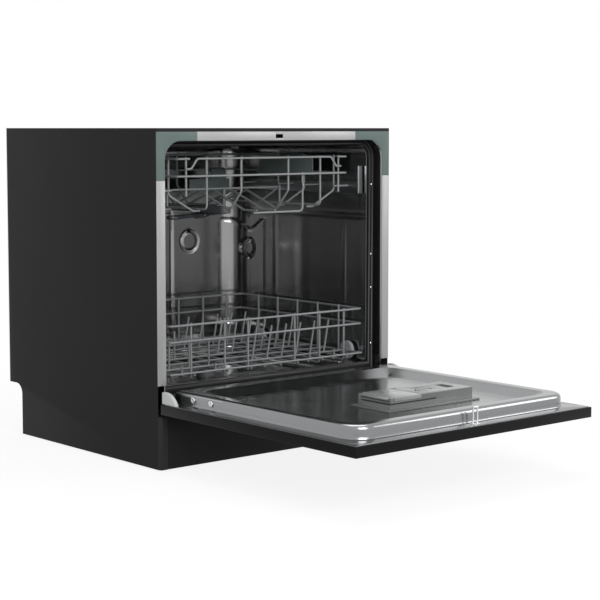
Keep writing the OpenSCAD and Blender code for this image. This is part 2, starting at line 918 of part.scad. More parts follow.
module salt_cap()
    color("#d5d7d4") set_down()
        translate([salt_x, salt_y, 0]) {
            bar_z(basin_z + slide, basin_z + 7, 0, 0, salt_r);
            bar_z(basin_z - 10, basin_z + 1, 0, 0, salt_r - 7.4);
            block([-salt_r + 6, -3, basin_z + 6], [salt_r - 6, 3, basin_z + 12]);
        }

module inlet_valve()
    color("#dcdcd6") set_down() {
        bar_y(notch_y + 1, notch_y + 24, valve_x, port_z, valve_r);
        bar_y(notch_y - 9, notch_y + 1, valve_x, port_z, valve_r + port_collar);
        block([valve_x - 20, notch_y - 52, port_z - 17], [valve_x + 20, notch_y - 9, port_z + 17]);
    }

module drain_spigot()
    color("#6a6d6f") set_down()
        difference() {
            union() {
                bar_y(notch_y + 3, notch_y + 30, drain_x, port_z, spigot_r);
                bar_y(notch_y + 0.2, notch_y + 3, drain_x, port_z, spigot_r + 2 * port_collar);
                bar_y(notch_y - 20, notch_y + 3, drain_x, port_z, spigot_r + port_collar);
            }
            bar_y(notch_y - 21, notch_y + 31, drain_x, port_z, spigot_r - 2.5);
        }

module cord_gland()
    color("#1c1c1c") set_down()
        difference() {
            union() {
                bar_y(notch_y - 6, notch_y + 10, gland_x, port_z, gland_r);
                bar_y(notch_y, notch_y + 3, gland_x, port_z, gland_r + 3);
                bar_y(notch_y - 12, notch_y - 5, gland_x, port_z, gland_r + 3);
            }
            bar_y(notch_y - 13, notch_y + 11, gland_x, port_z, 3.6);
        }

// Pipe from the heater, under the tub, round the hose notch and up to the upper rack's dock
module feed_pipe()
    color("#6b6e70") set_down() {
        turn_y = basin_back + sheet + 20;
        step_z = pipe_z + 22;
        rise_y = tub_back + sheet + 12;
        bar_y(heater_out, turn_y, 0, pipe_z, pipe_r);
        bar_z(pipe_z, step_z, 0, turn_y, pipe_r);
        bar_y(turn_y, rise_y, 0, step_z, pipe_r);
        bar_z(step_z, dock_z, 0, rise_y, pipe_r);
        bar_y(tub_back - 18, rise_y, 0, dock_z, pipe_r);
        for (knee = [[turn_y, pipe_z], [turn_y, step_z], [rise_y, step_z], [rise_y, dock_z]])
            translate([0, knee.x, knee.y]) sphere(pipe_r + 1);
        bar_y(tub_back - 2, tub_back, 0, dock_z, 14);
    }

// ---------------------------------------------------------------- door

// Cuts for the hinge brackets and arms at the heel of the door
module hinge_slots()
    both_sides()
        block([slot_lo, slot_deep, door_out - over], [slot_hi, door_heel + over, door_in + over]);

module door_outer_panel()
    color("#242424") set_down()
        difference() {
            block([-door_half, door_tip, door_out], [door_half, door_heel, door_in]);
            block([-door_half + door_rim, door_tip + door_rim, door_out + door_skin],
                  [door_half - door_rim, door_heel - door_rim, door_in + over]);
            hinge_slots();
            block([-fascia_half, fascia_near, door_out - over],
                  [fascia_half, fascia_far, door_out + fascia_t]);
            for (x = button_x)
                bar_z(door_out - over, door_out + door_skin + over, x, button_y, button_r + slide);
        }

// The tray's hollow above the sheet, or the sheet's underside when grown by its thickness
module tray_hollow(grow) {
    lo = tray_z - grow;
    w = liner_half - band_w + grow;
    wb = w - tray_slope;
    y0 = liner_tip + band_w - grow;
    y1 = liner_heel - band_heel + grow;
    hull() {
        translate([0, 0, liner_top]) linear_extrude(over) soft_rect(-w, y0, w, y1, tray_r, $fn = 32);
        translate([0, 0, lo]) linear_extrude(0.01)
            soft_rect(-wb, y0 + tray_slope, wb, y1 - tray_slope, tray_r / 2, $fn = 32);
    }
}

// The liner's raised block: its far corners are well rounded
module liner_block(inset, top)
    translate([0, 0, door_in]) linear_extrude(top - door_in)
        mirror([0, 1]) arch(liner_half - inset, -liner_heel + inset, -liner_tip - inset, 40 - inset);

module door_liner()
    color("#a3a5a6") set_down()
        difference() {
            union() {
                difference() {
                    liner_block(0, liner_top);
                    difference() {
                        liner_block(liner_t, liner_top - liner_t);
                        tray_hollow(liner_t);
                    }
                }
                // Flange on the outer panel
                translate([0, 0, door_in]) linear_extrude(liner_t)
                    difference() {
                        soft_rect(-door_half + flange_edge, door_tip + flange_edge,
                                  door_half - flange_edge, liner_heel, 4);
                        mirror([0, 1]) arch(liner_half - liner_t, -liner_heel - over,
                                            -liner_tip - liner_t, 40 - liner_t);
                    }
            }
            tray_hollow(0);
            // Room for the hinge brackets, and the holes of the arms' screws
            both_sides() {
                block([liner_half + 0.01, slot_deep, door_in - over],
                      [slot_hi, liner_heel + over, door_in + liner_t + over]);
                for (y = screw_y)
                    bar_x(liner_half - 2 * liner_t, liner_half + over, y, screw_z, screw_r + fit);
            }
            // Hole for the dispenser
            block([disp_x + 2, disp_near + 2, tray_z - 3], [disp_end - 2, disp_far - 2, tray_z + over]);
        }

module hinge_covers()
    color("#b5b7b7") set_down()
        both_sides()
            intersection() {
                bar_x(half - 9, skin_in - 1, -pivot_out, pivot_z, cover_r);
                block([half - 10, -pivot_out - cover_r, door_in + liner_t],
                      [half, door_heel - 1, door_in + cover_r]);
            }

module door_screws()
    color("#c4c6c7") set_down()
        both_sides()
            for (y = screw_y) {
                bar_x(arm_x, liner_half, y, screw_z, screw_r);
                difference() {
                    bar_x(liner_half, liner_half + 2, y, screw_z, screw_head_r);
                    // Cross recess
                    block([liner_half + 1, y - 3, screw_z - 0.5], [liner_half + 3, y + 3, screw_z + 0.5]);
                    block([liner_half + 1, y - 0.5, screw_z - 3], [liner_half + 3, y + 0.5, screw_z + 3]);
                }
            }

module striker_loop()
    color("#c9ccce") set_down() {
        bar_top = door_z(loop_in);
        block([-9, loop_y - 4.5, door_in + liner_t], [9, loop_y + 4.5, door_in + liner_t + 0.8]);
        for (s = [-1, 1])
            bar_z(door_in + liner_t + 0.4, bar_top, s * loop_half, loop_y, loop_r);
        bar_x(-loop_half - loop_r, loop_half + loop_r, loop_y, bar_top, loop_r);
    }

module door_lower_seal()
    color("#181818") set_down()
        block([-liner_half + 15, liner_heel, door_in + 6], [liner_half - 15, liner_heel + 4, door_in + 16]);

// ---------------------------------------------------------------- dispenser

module dispenser_body()
    color("#7d8080") set_down()
        difference() {
            union() {
                // Box on the tray, its foot flange and the tank below
                block([disp_x, disp_near, tray_z], [disp_end, disp_far, disp_top]);
                block([disp_x - 10, disp_near - 8, tray_z], [disp_end + 10, disp_far + 8, tray_z + 3]);
                block([disp_x + 3, disp_near + 3, disp_deep], [disp_end - 3, disp_far - 3, tray_z]);
            }
            // Seat of the lid between the two ears, which carry its pin
            block([disp_x - over, disp_near + ear_w, lid_z - lid_t / 2 - slide],
                  [lid_x + lid_l + slide, disp_far - ear_w, disp_top + over]);
            block([lid_x + 3.3, disp_near - over, lid_z - lid_t / 2 - slide],
                  [lid_x + lid_l + slide, disp_far + over, disp_top + over]);
            bar_y(disp_near + 1, disp_far - 1, lid_x, lid_z, lid_pin_r + fit);
            // Parting line of the cover, half-way along the near side and round the end
            block([disp_x - over, disp_near - over, seam_z - seam_w / 2],
                  [disp_x + disp_l / 2 + 9, disp_near + seam_w, seam_z + seam_w / 2]);
            block([disp_x - over, disp_near - over, seam_z - seam_w / 2],
                  [disp_x + seam_w, disp_far - 8, seam_z + seam_w / 2]);
            // Detergent cup
            block([cup_x, disp_near + 12, disp_top - cup_deep], [cup_x + cup_l, disp_far - 12, disp_top]);
            // Seat and neck of the rinse aid cap, and the slide of the latch
            bar_z(disp_top - 4, disp_top + over, cap_x, cap_y, cap_r + slide);
            bar_z(disp_deep + 4, disp_top, cap_x, cap_y, cap_r - 6);
            block([latch_x - slide, cap_y - 16 - slide, disp_top - 6],
                  [latch_x + latch_w + latch_move + slide, cap_y + 16 + slide, disp_top + over]);
        }

// The lid turns on its own pin between the two ears of the box
module dispenser_lid()
    color("#c2c5c4") set_down() {
        block([lid_x + 5.1, disp_near, lid_z - lid_t / 2],
              [lid_x + lid_l, disp_far, lid_z + lid_t / 2 + 1]);
        block([lid_x, disp_near + ear_w + slide, lid_z - lid_t / 2],
              [lid_x + 6, disp_far - ear_w - slide, lid_z + lid_t / 2]);
        difference() {
            bar_y(disp_near + ear_w + slide, disp_far - ear_w - slide, lid_x, lid_z, lid_t / 2);
            block([lid_x, disp_near, lid_z - lid_t], [lid_x + lid_t, disp_far, lid_z + lid_t]);
        }
        bar_y(disp_near + 1.3, disp_far - 1.3, lid_x, lid_z, lid_pin_r);
    }

module dispenser_latch()
    color("#2c2e2f") set_down()
        difference() {
            block([latch_x, cap_y - 16, disp_top - 6 + slide],
                  [latch_x + latch_w, cap_y + 16, disp_top - 1]);
            block([latch_x + 3, cap_y - 12, disp_top - 3], [latch_x + latch_w - 3, cap_y + 12, disp_top]);
        }

module rinse_aid_cap()
    color("#b2b5b4") set_down()
        translate([cap_x, cap_y, 0]) {
            bar_z(disp_top - 4 + slide, disp_top - 0.5, 0, 0, cap_r);
            bar_z(disp_top - 14, disp_top - 3, 0, 0, cap_r - 6.3);
            block([-cap_r + 3, -2, disp_top - 1], [cap_r - 3, 2, disp_top + 1.5]);
        }

// ---------------------------------------------------------------- controls

button_x = [-110, 110];

module control_fascia()
    color("#15171a") set_down()
        difference() {
            block([-fascia_half, fascia_near, door_out], [fascia_half, fascia_far, door_out + fascia_t]);
            for (x = button_x)
                bar_z(door_out - over, door_out + door_skin, x, button_y, button_r + slide);
        }

module button(x) {
    bar_z(door_out - button_proud - 0.4, door_out + door_skin + slide + 1, x, button_y, button_r);
    bar_z(door_out + door_skin + slide, door_out + door_skin + slide + 1, x, button_y, button_r + 2);
}

module power_button()
    color("#8f9395") set_down() button(button_x[0]);

module start_button()
    color("#8f9395") set_down() button(button_x[1]);

module control_board()
    color("#2d5a3a") set_down() {
        board_z = door_out + door_skin + slide + 1 + button_move + board_gap;
        block([-fascia_half + 10, fascia_near + 4, board_z],
              [fascia_half - 10, fascia_far - 4, board_z + 1.6]);
        for (x = [-fascia_half + 16, 0, fascia_half - 16])
            bar_z(door_out + door_skin, board_z, x, button_y, 3);
    }

// ---------------------------------------------------------------- lower rack

// A closed rectangle of wire at one height
module wire_ring(half_w, y0, y1, z)
    wire_path([[-half_w, y0, z], [half_w, y0, z], [half_w, y1, z], [-half_w, y1, z]], closed = true);

module lower_rack_basket()
    color("#8a8d8f") set_down() {
        wire_ring(low_half, low_front, low_back, low_top);
        wire_ring(low_half, low_front, low_back, low_mid);
        // Bent wires at the front, four of them with a foot, straight ones at the rear, and
        // those that run back under the floor
        for (i = [0 : len(low_posts) - 1]) {
            x = low_posts[i];
            y = low_front + weld;
            if (low_footed[i])
                wire_path([
                    [x, y, low_top + wire_r], [x, y, low_foot],
                    [x, low_front + foot_deep, low_foot], [x, low_front + foot_deep, low_foot + foot_up]
                ]);
            else
                wire([x, y, low_under - wire_r], [x, y, low_top + wire_r]);
            wire([x, low_back - weld, low_under - wire_r], [x, low_back - weld, low_top + wire_r]);
        }
        for (x = concat([for (x = low_posts) x + weld], low_runs))
            wire([x, low_front - wire_r, low_under], [x, low_back + wire_r, low_under]);
        // Floor: its front and rear wires, its cross wires and its side wires between the wheels
        for (y = [low_front, low_back])
            wire([-low_half - wire_r, y, low_floor], [low_half + wire_r, y, low_floor]);
        for (i = [1 : low_cross])
            wire([butt - low_half, low_row(i), low_floor], [low_half - butt, low_row(i), low_floor]);
        both_sides() {
            wire([low_half, low_front + butt, low_floor],
                 [low_half, wheel_front - axle_hold - touch, low_floor]);
            wire([low_half, wheel_front + axle_hold + touch, low_floor],
                 [low_half, wheel_rear - axle_hold - touch, low_floor]);
            wire([low_half, wheel_rear + axle_hold + touch, low_floor],
                 [low_half, low_back - butt, low_floor]);
            // Side posts
            for (i = [1 : 5]) {
                y = low_front + (low_back - low_front) * i / 6;
                wire([low_half - weld, y, low_floor - wire_r], [low_half - weld, y, low_top + wire_r]);
            }
            // Axle stubs of the wheels on their brackets
            for (y = [wheel_front, wheel_rear]) {
                bar_x(low_half, wheel_x + wheel_w + 0.8, y, wheel_z, axle_r);
                bar_x(wheel_x + wheel_w + 0.4, wheel_x + wheel_w + 1.6, y, wheel_z, axle_r + 1.5);
                block([low_half - wire_r, y - axle_hold, wheel_z - 5],
                      [low_half + wire_r, y + axle_hold, low_floor + 6]);
            }
        }
        // Plate tines, leaning a little to the right, and cup tines on the left
        for (k = [1, 3, 5]) {
            y = low_row(k) + weld;
            for (i = [0 : 5]) {
                x = 14 + tine_pitch * i;
                wire([x - tine_lean, y, low_floor], [x, y, low_floor + tine_h]);
            }
            for (i = [0 : 2]) {
                x = -190 + 1.25 * tine_pitch * i;
                wire([x, y, low_floor], [x, y, low_floor + tine_h - 10]);
            }
        }
    }

module wheel_pair(y)
    both_sides()
        difference() {
            union() {
                bar_x(wheel_x, wheel_x + wheel_w, y, wheel_z, wheel_r);
            }
            bar_x(wheel_x - over, wheel_x + wheel_w + over, y, wheel_z, axle_r + fit);
            // Groove in the outer face, between hub and rim
            difference() {
                bar_x(wheel_x + wheel_w - 2.5, wheel_x + wheel_w + over, y, wheel_z, wheel_r - 4);
                bar_x(wheel_x + wheel_w - 3, wheel_x + wheel_w + 2, y, wheel_z, axle_r + 3);
            }
        }

module lower_wheels_front()
    color("#9b9ea0") set_down() wheel_pair(wheel_front);

module lower_wheels_rear()
    color("#9b9ea0") set_down() wheel_pair(wheel_rear);

// ---------------------------------------------------------------- upper rack

// The floor wires dip behind the front, rise to a ridge and dip again, so that cups lean on them
function floor_path(x, top) = [
    [x, valley_y, up_valley - wire_r], [x, ridge_y, up_ridge],
    [x, 2 * ridge_y - valley_y + 8, up_valley - wire_r], [x, up_back - 40, up_valley - wire_r],
    [x, up_back - weld, up_bend], [x, up_back - weld, top + wire_r]
];

module upper_rack_basket()
    color("#8a8d8f") set_down() {
        ear = 29;
        dip = 18;
        slant = 13;
        post_x = up_half - 20;
        side_x = up_half - weld;
        inner_x = 22;
        up_cross = up_valley - wire_r - weld;
        // Top wire: it dips near the front corners
        wire_path([
            [-post_x - 2, up_front, up_top - dip], [-up_half + ear, up_front, up_top - dip],
            [-up_half + ear + slant, up_front, up_top], [up_half - ear - slant, up_front, up_top],
            [up_half - ear, up_front, up_top - dip], [post_x + 2, up_front, up_top - dip]
        ]);
        wire([-up_half - wire_r, up_back, up_top], [up_half + wire_r, up_back, up_top]);
        wire_ring(up_half, up_front, up_back, up_mid);
        both_sides() {
            wire_path([[post_x - 4, up_front, up_top], [up_half, up_front, up_top],
                       [up_half, up_back - butt, up_top]]);
            wire([post_x, up_front + weld, up_bend - 5], [post_x, up_front + weld, up_top + wire_r]);
            // Side wires, which lead inwards at their feet to the floor's outer wire
            for (y = side_wires) {
                wire_path([
                    [side_x, y, up_top + wire_r], [side_x, y, up_bend - weld],
                    [up_inner + 8, y, up_low - weld], [up_inner - 6, y, up_low - weld]
                ]);
                // Link to the side runner
                wire([side_x - wire_r, y - weld, up_bend + weld],
                     [rail_x - touch, y - weld, up_bend + weld]);
            }
            // Long wire, which comes down from the front, runs back and goes up at the rear
            wire_path([
                [up_inner, up_front + weld, up_top + wire_r], [up_inner, up_front + weld, up_low],
                [up_inner, up_back - weld, up_low], [up_inner, up_back - weld, up_top + wire_r]
            ]);
            wire([up_inner, ridge_y - weld, up_low + butt], [up_inner, ridge_y - weld, ridge_z + wire_r]);
        }
        // Floor wires: the outer two come down from the top wire, the inner two start on a bent
        // wire that comes down from the middle one
        for (x = [-56, 56])
            wire_path(concat([[x, up_front + weld, up_top + wire_r], [x, up_front + weld, up_bend]],
                             floor_path(x, up_top)));
        for (x = [-inner_x, inner_x])
            wire_path(concat([[x, up_front + wire_r, up_valley - wire_r]], floor_path(x, up_mid)));
        wire_path([
            [up_stop, up_front + weld, up_mid + wire_r], [up_stop, up_front + weld, up_cross],
            [-inner_x - weld, up_front + weld, up_cross]
        ]);
        wire([-up_inner - wire_r, ridge_y, ridge_z], [up_inner + wire_r, ridge_y, ridge_z]);
    }

module upper_rack_rails()
    color("#a9acad") set_down()
        both_sides() {
            lo = rail_z - rail_half;
            hi = rail_z + rail_half;
            block([rail_x, rail_front, lo - rail_t], [rail_x + rail_t, rail_back, hi + rail_t]);
            block([rail_x, rail_front, lo - rail_t], [rail_x + rail_w, rail_back, lo]);
            block([rail_x, rail_front, hi], [rail_x + rail_w, rail_back, hi + rail_t]);
            // End stops; the front one rises above the runner
            block([rail_x, rail_front - 3, lo - rail_t], [rail_x + rail_w, rail_front + 4, stop_top]);
            block([rail_x, rail_back - 4, lo - rail_t], [rail_x + rail_w, rail_back, hi + rail_t]);
        }

// A cup shelf turns on a rack wire with its sleeve and hangs down from it when folded away.
// It is drawn along Y with the wire's middle line at the origin and the rack's inside at -X.
// Its plate is as wide as the sleeve down to the shoulder, and wider by the ends from there.
module cup_shelf(y0, y1, ends, shoulder, drop)
    difference() {
        union() {
            bar_y(y0, y1, 0, 0, wire_r + 2);
            block([-shelf_gap - 1, y0, -wire_r - 4], [0, y1, 0]);
            block([-shelf_gap - shelf_t, y0, -shoulder - 1], [-shelf_gap, y1, -wire_r - 2]);
            block([-shelf_gap - shelf_t, y0 - ends[0], -drop], [-shelf_gap, y1 + ends[1], -shoulder]);
        }
        bar_y(y0 - over, y1 + over, 0, 0, wire_r + fit);
        block([-wire_r - 1.8, y0 - over, -wire_r - 5], [over, y1 + over, -wire_r - 1.8]);
    }

module cup_shelf_right()
    color("#76827f") set_down()
        translate([up_half, 0, up_top])
            cup_shelf(side_wires[1] + 8, side_wires[2] - 8, [38, 62], wire_r + 2, 37);

module cup_shelf_rear()
    color("#76827f") set_down()
        translate([0, up_back, up_mid]) rotate([0, 0, 90])
            cup_shelf(-shelf_end, -shelf_start, [9, 57], 19, 49);

module upper_spray_duct()
    color("#5f6365") set_down()
        difference() {
            union() {
                block([-duct_half, duct_front, duct_low], [duct_half, tub_back - 20, duct_top]);
                bar_z(duct_low, duct_top, 0, duct_front, duct_half);
                bar_z(up_arm_z - 2, duct_low + 1, 0, up_arm_y, up_hub_r);
                bar_z(up_arm_z - 3.5, up_arm_z - 1, 0, up_arm_y, up_hub_r + 2.5);
                // Posts up to the rack's ridge wire and to its rear wire
                bar_z(duct_top - 1, ridge_z, 0, ridge_y, 4);
                bar_z(duct_top - 1, up_mid, 0, up_back, 4);
            }
            bar_x(-6, 6, ridge_y, ridge_z, wire_r + touch);
            bar_x(-6, 6, up_back, up_mid, wire_r + touch);
            bar_z(up_arm_z - 4, duct_top - 2, 0, up_arm_y, up_hub_r - 3);
            block([-duct_half + 2, duct_front, duct_low + 2], [duct_half - 2, tub_back - 19, duct_top - 2]);
        }

module upper_spray_arm()
    color("#8d9092") set_down()
        translate([0, up_arm_y, up_arm_z]) rotate([0, 0, up_arm_turn])
            spray_blades(up_arm_l, up_hub_r + 10, up_hub_r + fit, 8, 4);

// ---------------------------------------------------------------- all nodes

base_pan();
side_panel_left();
side_panel_right();
top_panel();
back_panel();
rear_lower_panel();
plinth_panel();
plinth_corner_posts();
levelling_feet();
tub_shell();
tub_floor();
front_trim_top();
front_trim_corners();
front_trim_sides();
door_gasket();
door_lock();
latch_hook();
hinge_brackets();
door_springs();
roller_carriers();
rack_rollers_front();
rack_rollers_rear();
spray_tower();
filter_plate();
filter_cup();
sump();
wash_pump();
drain_pump();
flow_heater();
water_softener();
salt_cap();
inlet_valve();
drain_spigot();
cord_gland();
feed_pipe();
lower_spray_arm();
door_outer_panel();
door_liner();
door_hinge_arms();
hinge_covers();
door_screws();
striker_loop();
door_lower_seal();
dispenser_body();
dispenser_lid();
dispenser_latch();
rinse_aid_cap();
control_fascia();
control_board();
power_button();
start_button();
lower_rack_basket();
lower_wheels_front();
lower_wheels_rear();
upper_rack_basket();
upper_rack_rails();
cup_shelf_right();
cup_shelf_rear();
upper_spray_duct();
upper_spray_arm();
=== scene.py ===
import json
import math

import bmesh
import bpy
import numpy as np
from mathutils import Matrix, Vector

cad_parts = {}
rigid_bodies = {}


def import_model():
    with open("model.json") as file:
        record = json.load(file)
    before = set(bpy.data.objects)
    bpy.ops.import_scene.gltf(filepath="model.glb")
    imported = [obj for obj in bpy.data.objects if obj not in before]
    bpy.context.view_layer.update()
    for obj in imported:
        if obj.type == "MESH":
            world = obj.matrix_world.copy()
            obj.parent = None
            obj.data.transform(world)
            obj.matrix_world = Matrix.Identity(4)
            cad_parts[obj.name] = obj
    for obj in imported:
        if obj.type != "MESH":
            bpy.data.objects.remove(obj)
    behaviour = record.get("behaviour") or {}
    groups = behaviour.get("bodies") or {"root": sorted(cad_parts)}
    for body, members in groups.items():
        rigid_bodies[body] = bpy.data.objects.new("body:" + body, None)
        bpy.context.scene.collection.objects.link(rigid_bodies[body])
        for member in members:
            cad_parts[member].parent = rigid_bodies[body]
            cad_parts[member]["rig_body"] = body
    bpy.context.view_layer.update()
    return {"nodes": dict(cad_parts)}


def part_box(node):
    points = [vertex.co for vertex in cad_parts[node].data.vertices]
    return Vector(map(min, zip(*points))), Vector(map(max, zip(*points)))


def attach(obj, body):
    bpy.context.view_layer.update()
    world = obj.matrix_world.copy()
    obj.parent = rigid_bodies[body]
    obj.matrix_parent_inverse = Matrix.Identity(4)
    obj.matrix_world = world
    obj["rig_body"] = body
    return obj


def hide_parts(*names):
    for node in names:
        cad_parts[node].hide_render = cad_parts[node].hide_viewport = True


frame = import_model()

# -------- base pan and feet
# The machine stands on a moulded base pan of glass-filled plastic that carries the pumps.
# Four levelling feet screw into its corners. Their discs touch the worktop.


class Sock:
    """A shader socket. Arithmetic on it adds Math nodes."""

    def __init__(self, tree, out):
        self.tree, self.out = tree, out

    def node(self, kind, settings=(), values=(), pick=0):
        """Adds a node with its settings, and values or links for its sockets."""
        new = self.tree.nodes.new("ShaderNode" + kind)
        for key, value in dict(settings).items():
            setattr(new, key, value)
        for key, value in dict(values).items():
            if isinstance(value, Sock):
                self.tree.links.new(value.out, new.inputs[key])
            else:
                new.inputs[key].default_value = value
        return Sock(self.tree, new.outputs[pick])

    def maths(self, operation, *terms):
        """A Math node on the terms."""
        return self.node("Math", {"operation": operation}, dict(enumerate(terms)))

    def __add__(self, other):
        return self.maths("ADD", self, other)

    def __sub__(self, other):
        return self.maths("SUBTRACT", self, other)

    def __mul__(self, other):
        return self.maths("MULTIPLY", self, other)

    def noise(self, size, stretch=(1, 1, 1), detail=2.0):
        """Noise whose lumps are size metres across, times stretch along each axis."""
        scale = [1 / (size * s) for s in stretch]
        place = self.node("Mapping", {}, {"Vector": self, "Scale": scale})
        return self.node("TexNoise", {}, {"Vector": place, "Scale": 1.0, "Detail": detail})

    def blend(self, a, b):
        """Colour a where this socket is 0 and colour b where it is 1."""
        return self.node("Mix", {"data_type": "RGBA"}, {0: self, 6: a, 7: b}, pick=2)


def tint(code, gain=1.0):
    """A colour written as six hexadecimal digits, in linear light, times a gain."""
    parts = [int(code[i : i + 2], 16) / 255 for i in (0, 2, 4)]
    linear = [p / 12.92 if p <= 0.04045 else ((p + 0.055) / 1.055) ** 2.4 for p in parts]
    return (*[min(1.0, c * gain) for c in linear], 1.0)


def surface(name, metallic=0.0, shine=0.5, **fixed):
    """A new material with its shader, and the object's own coordinates as a Sock."""
    material = bpy.data.materials.new(name)
    material.use_nodes = True
    tree = material.node_tree
    tree.nodes.clear()
    shader = tree.nodes.new("ShaderNodeBsdfPrincipled")
    output = tree.nodes.new("ShaderNodeOutputMaterial")
    tree.links.new(shader.outputs[0], output.inputs[0])
    shader.inputs["Metallic"].default_value = metallic
    shader.inputs["Specular IOR Level"].default_value = shine
    for key, value in fixed.items():
        shader.inputs[key.replace("_", " ").title()].default_value = value
    return material, shader, Sock(tree, tree.nodes.new("ShaderNodeTexCoord").outputs["Object"])


def feed(shader, **links):
    """Links sockets to a shader's inputs, named in lower case with underscores."""
    for key, sock in links.items():
        shader.id_data.links.new(sock.out, shader.inputs[key.replace("_", " ").title()])


def moulded(name, code, rough, grain=0.0009, depth=0.00004, swing=0.07, tone=0.12, **fixed):
    """Moulded plastic or rubber: a fine cast grain, a slow drift of tone and rubbed spots."""
    material, shader, place = surface(name, **fixed)
    drift = place.noise(0.09, detail=3.0)
    skin = place.noise(grain, detail=1.0)
    rubbed = place.noise(0.02, detail=4.0)
    bump = skin.node("Bump", {}, {"Strength": 0.6, "Distance": depth, "Height": skin})
    feed(shader, base_color=drift.blend(tint(code, 1 - tone), tint(code, 1 + tone)),
         roughness=(rubbed - 0.5) * (2 * swing) + rough, normal=bump)
    return material


def place_piece(name, mesh, finish, body, nodes=(), sharp=35):
    """Puts a finished mesh on its body, in its finish, and hides the solids it stands for.

    Edges sharper than sharp, in degrees, stay crisp.
    """
    piece = bpy.data.objects.new(name, mesh)
    bpy.context.scene.collection.objects.link(piece)
    mesh.materials.clear()
    mesh.materials.append(finish)
    mesh.polygons.foreach_set("use_smooth", [True] * len(mesh.polygons))
    mesh.set_sharp_from_angle(angle=math.radians(sharp))
    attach(piece, body)
    if nodes:
        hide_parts(*nodes)


MERGE = 2e-6  # points closer than this, in metres, are one


def soften(node, name, finish, edge=0.4, steps=2, sharp=35):
    """A copy of a solid with its edges rounded over by edge millimetres, in the solid's place."""
    nearly_flat = math.radians(0.8)
    solid = frame["nodes"][node]
    work = bmesh.new()
    work.from_mesh(solid.data)
    bmesh.ops.remove_doubles(work, verts=work.verts, dist=MERGE)
    bmesh.ops.dissolve_limit(work, angle_limit=nearly_flat, verts=work.verts, edges=work.edges)
    rims = [e for e in work.edges if e.is_manifold and e.calc_face_angle(0) > math.radians(sharp)]
    bmesh.ops.bevel(work, geom=rims, offset=edge / 1000, segments=steps, profile=0.5,
                    affect="EDGES", clamp_overlap=True)
    mesh = bpy.data.meshes.new(name)
    work.to_mesh(mesh)
    work.free()
    place_piece(name, mesh, finish, solid["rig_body"], (node,), sharp + 5)


base_black = moulded("base_black", "2a2a2c", 0.55, shine=0.2)
foot_rubber = moulded("foot_rubber", "161616", 0.7, shine=0.2)
soften("base_pan", "base_tray", base_black)
soften("levelling_feet", "feet_discs", foot_rubber, edge=0.8)

# -------- cabinet sheets
# Side panels and top are folded from steel sheet and coated in dark grey powder paint, which
# leaves a very fine orange peel. The back and the notch for the hoses are bare zinc-coated steel.


def powder_coat(name, code, rough, peel=0.0022, depth=0.00003, shine=0.05):
    """Baked powder paint: a soft peel, a faint speckle and a slow change of gloss."""
    material, shader, place = surface(name, shine=shine)
    waves = place.noise(peel, detail=1.0)
    speckle = place.noise(0.0006, detail=0.0)
    drift = place.noise(0.25, detail=2.0)
    bump = waves.node("Bump", {}, {"Strength": 0.5, "Distance": depth, "Height": waves})
    shade = (drift - 0.5) * 0.5 + (speckle - 0.5) * 0.5 + 0.5
    feed(shader, base_color=shade.blend(tint(code, 0.9), tint(code, 1.1)),
         roughness=(drift - 0.5) * 0.12 + rough, normal=bump)
    return material


def rolled(name, code, rough, along=(1, 1, 60), line=0.0005, depth=0.000012, tone=0.1, swing=0.08,
           wave=0.0):
    """Rolled or brushed metal: fine lines in one direction, with a drift of tone and gloss.

    A wave gives thin sheet the slow unevenness that bends what it reflects.
    """
    material, shader, place = surface(name, metallic=1.0)
    lines = place.noise(line, along, detail=3.0)
    drift = place.noise(0.08, detail=3.0)
    bump = lines.node("Bump", {}, {"Strength": 0.5, "Distance": depth, "Height": lines})
    if wave:
        swell = place.noise(0.07, (1, 1, 2.5), detail=1.0)
        bump = swell.node("Bump", {}, {"Strength": 1.0, "Distance": wave, "Height": swell,
                                       "Normal": bump})
    shade = (drift - 0.5) * 0.6 + (lines - 0.5) * 0.5 + 0.5
    feed(shader, base_color=shade.blend(tint(code, 1 - tone), tint(code, 1 + tone)),
         roughness=(drift - 0.5) * swing + (lines - 0.5) * swing + rough, normal=bump)
    return material


cabinet_grey = powder_coat("cabinet_grey", "242424", 0.5)
zinc_sheet = rolled("zinc_sheet", "a9abad", 0.45, along=(60, 1, 1))
soften("side_panel_left", "side_sheet_left", cabinet_grey)
soften("side_panel_right", "side_sheet_right", cabinet_grey)
soften("top_panel", "top_sheet", cabinet_grey)
soften("back_panel", "back_sheet", zinc_sheet, edge=0.3)
soften("rear_lower_panel", "hose_notch_sheet", zinc_sheet, edge=0.3)

# -------- plinth and corner posts
# The plinth is a black moulding that is clipped on below the door. A charcoal corner post
# stands at each of its ends.

plinth_black = moulded("plinth_black", "131313", 0.4, grain=0.0014, shine=0.15)
post_charcoal = moulded("post_charcoal", "292929", 0.45, shine=0.08)
soften("plinth_panel", "plinth_cover", plinth_black)
soften("plinth_corner_posts", "corner_posts", post_charcoal)

# -------- front frame
# A frame of silver-coated strips around the opening, with grey-green plastic corners between
# them. The top strip has the slot through which the door's loop meets the latch.


def satin_strip(name, code, along):
    """Silver lacquer on a steel strip: fine lines along it under a thin clear coat."""
    material, shader, place = surface(name, metallic=0.35, coat_weight=0.2, coat_roughness=0.25)
    lines = place.noise(0.0006, along, detail=2.0)
    drift = place.noise(0.1, detail=2.0)
    bump = lines.node("Bump", {}, {"Strength": 0.4, "Distance": 0.00001, "Height": lines})
    shade = (lines - 0.5) * 0.6 + (drift - 0.5) * 0.5 + 0.5
    feed(shader, base_color=shade.blend(tint(code, 0.92), tint(code, 1.08)),
         roughness=(lines - 0.5) * 0.15 + 0.42, normal=bump)
    return material


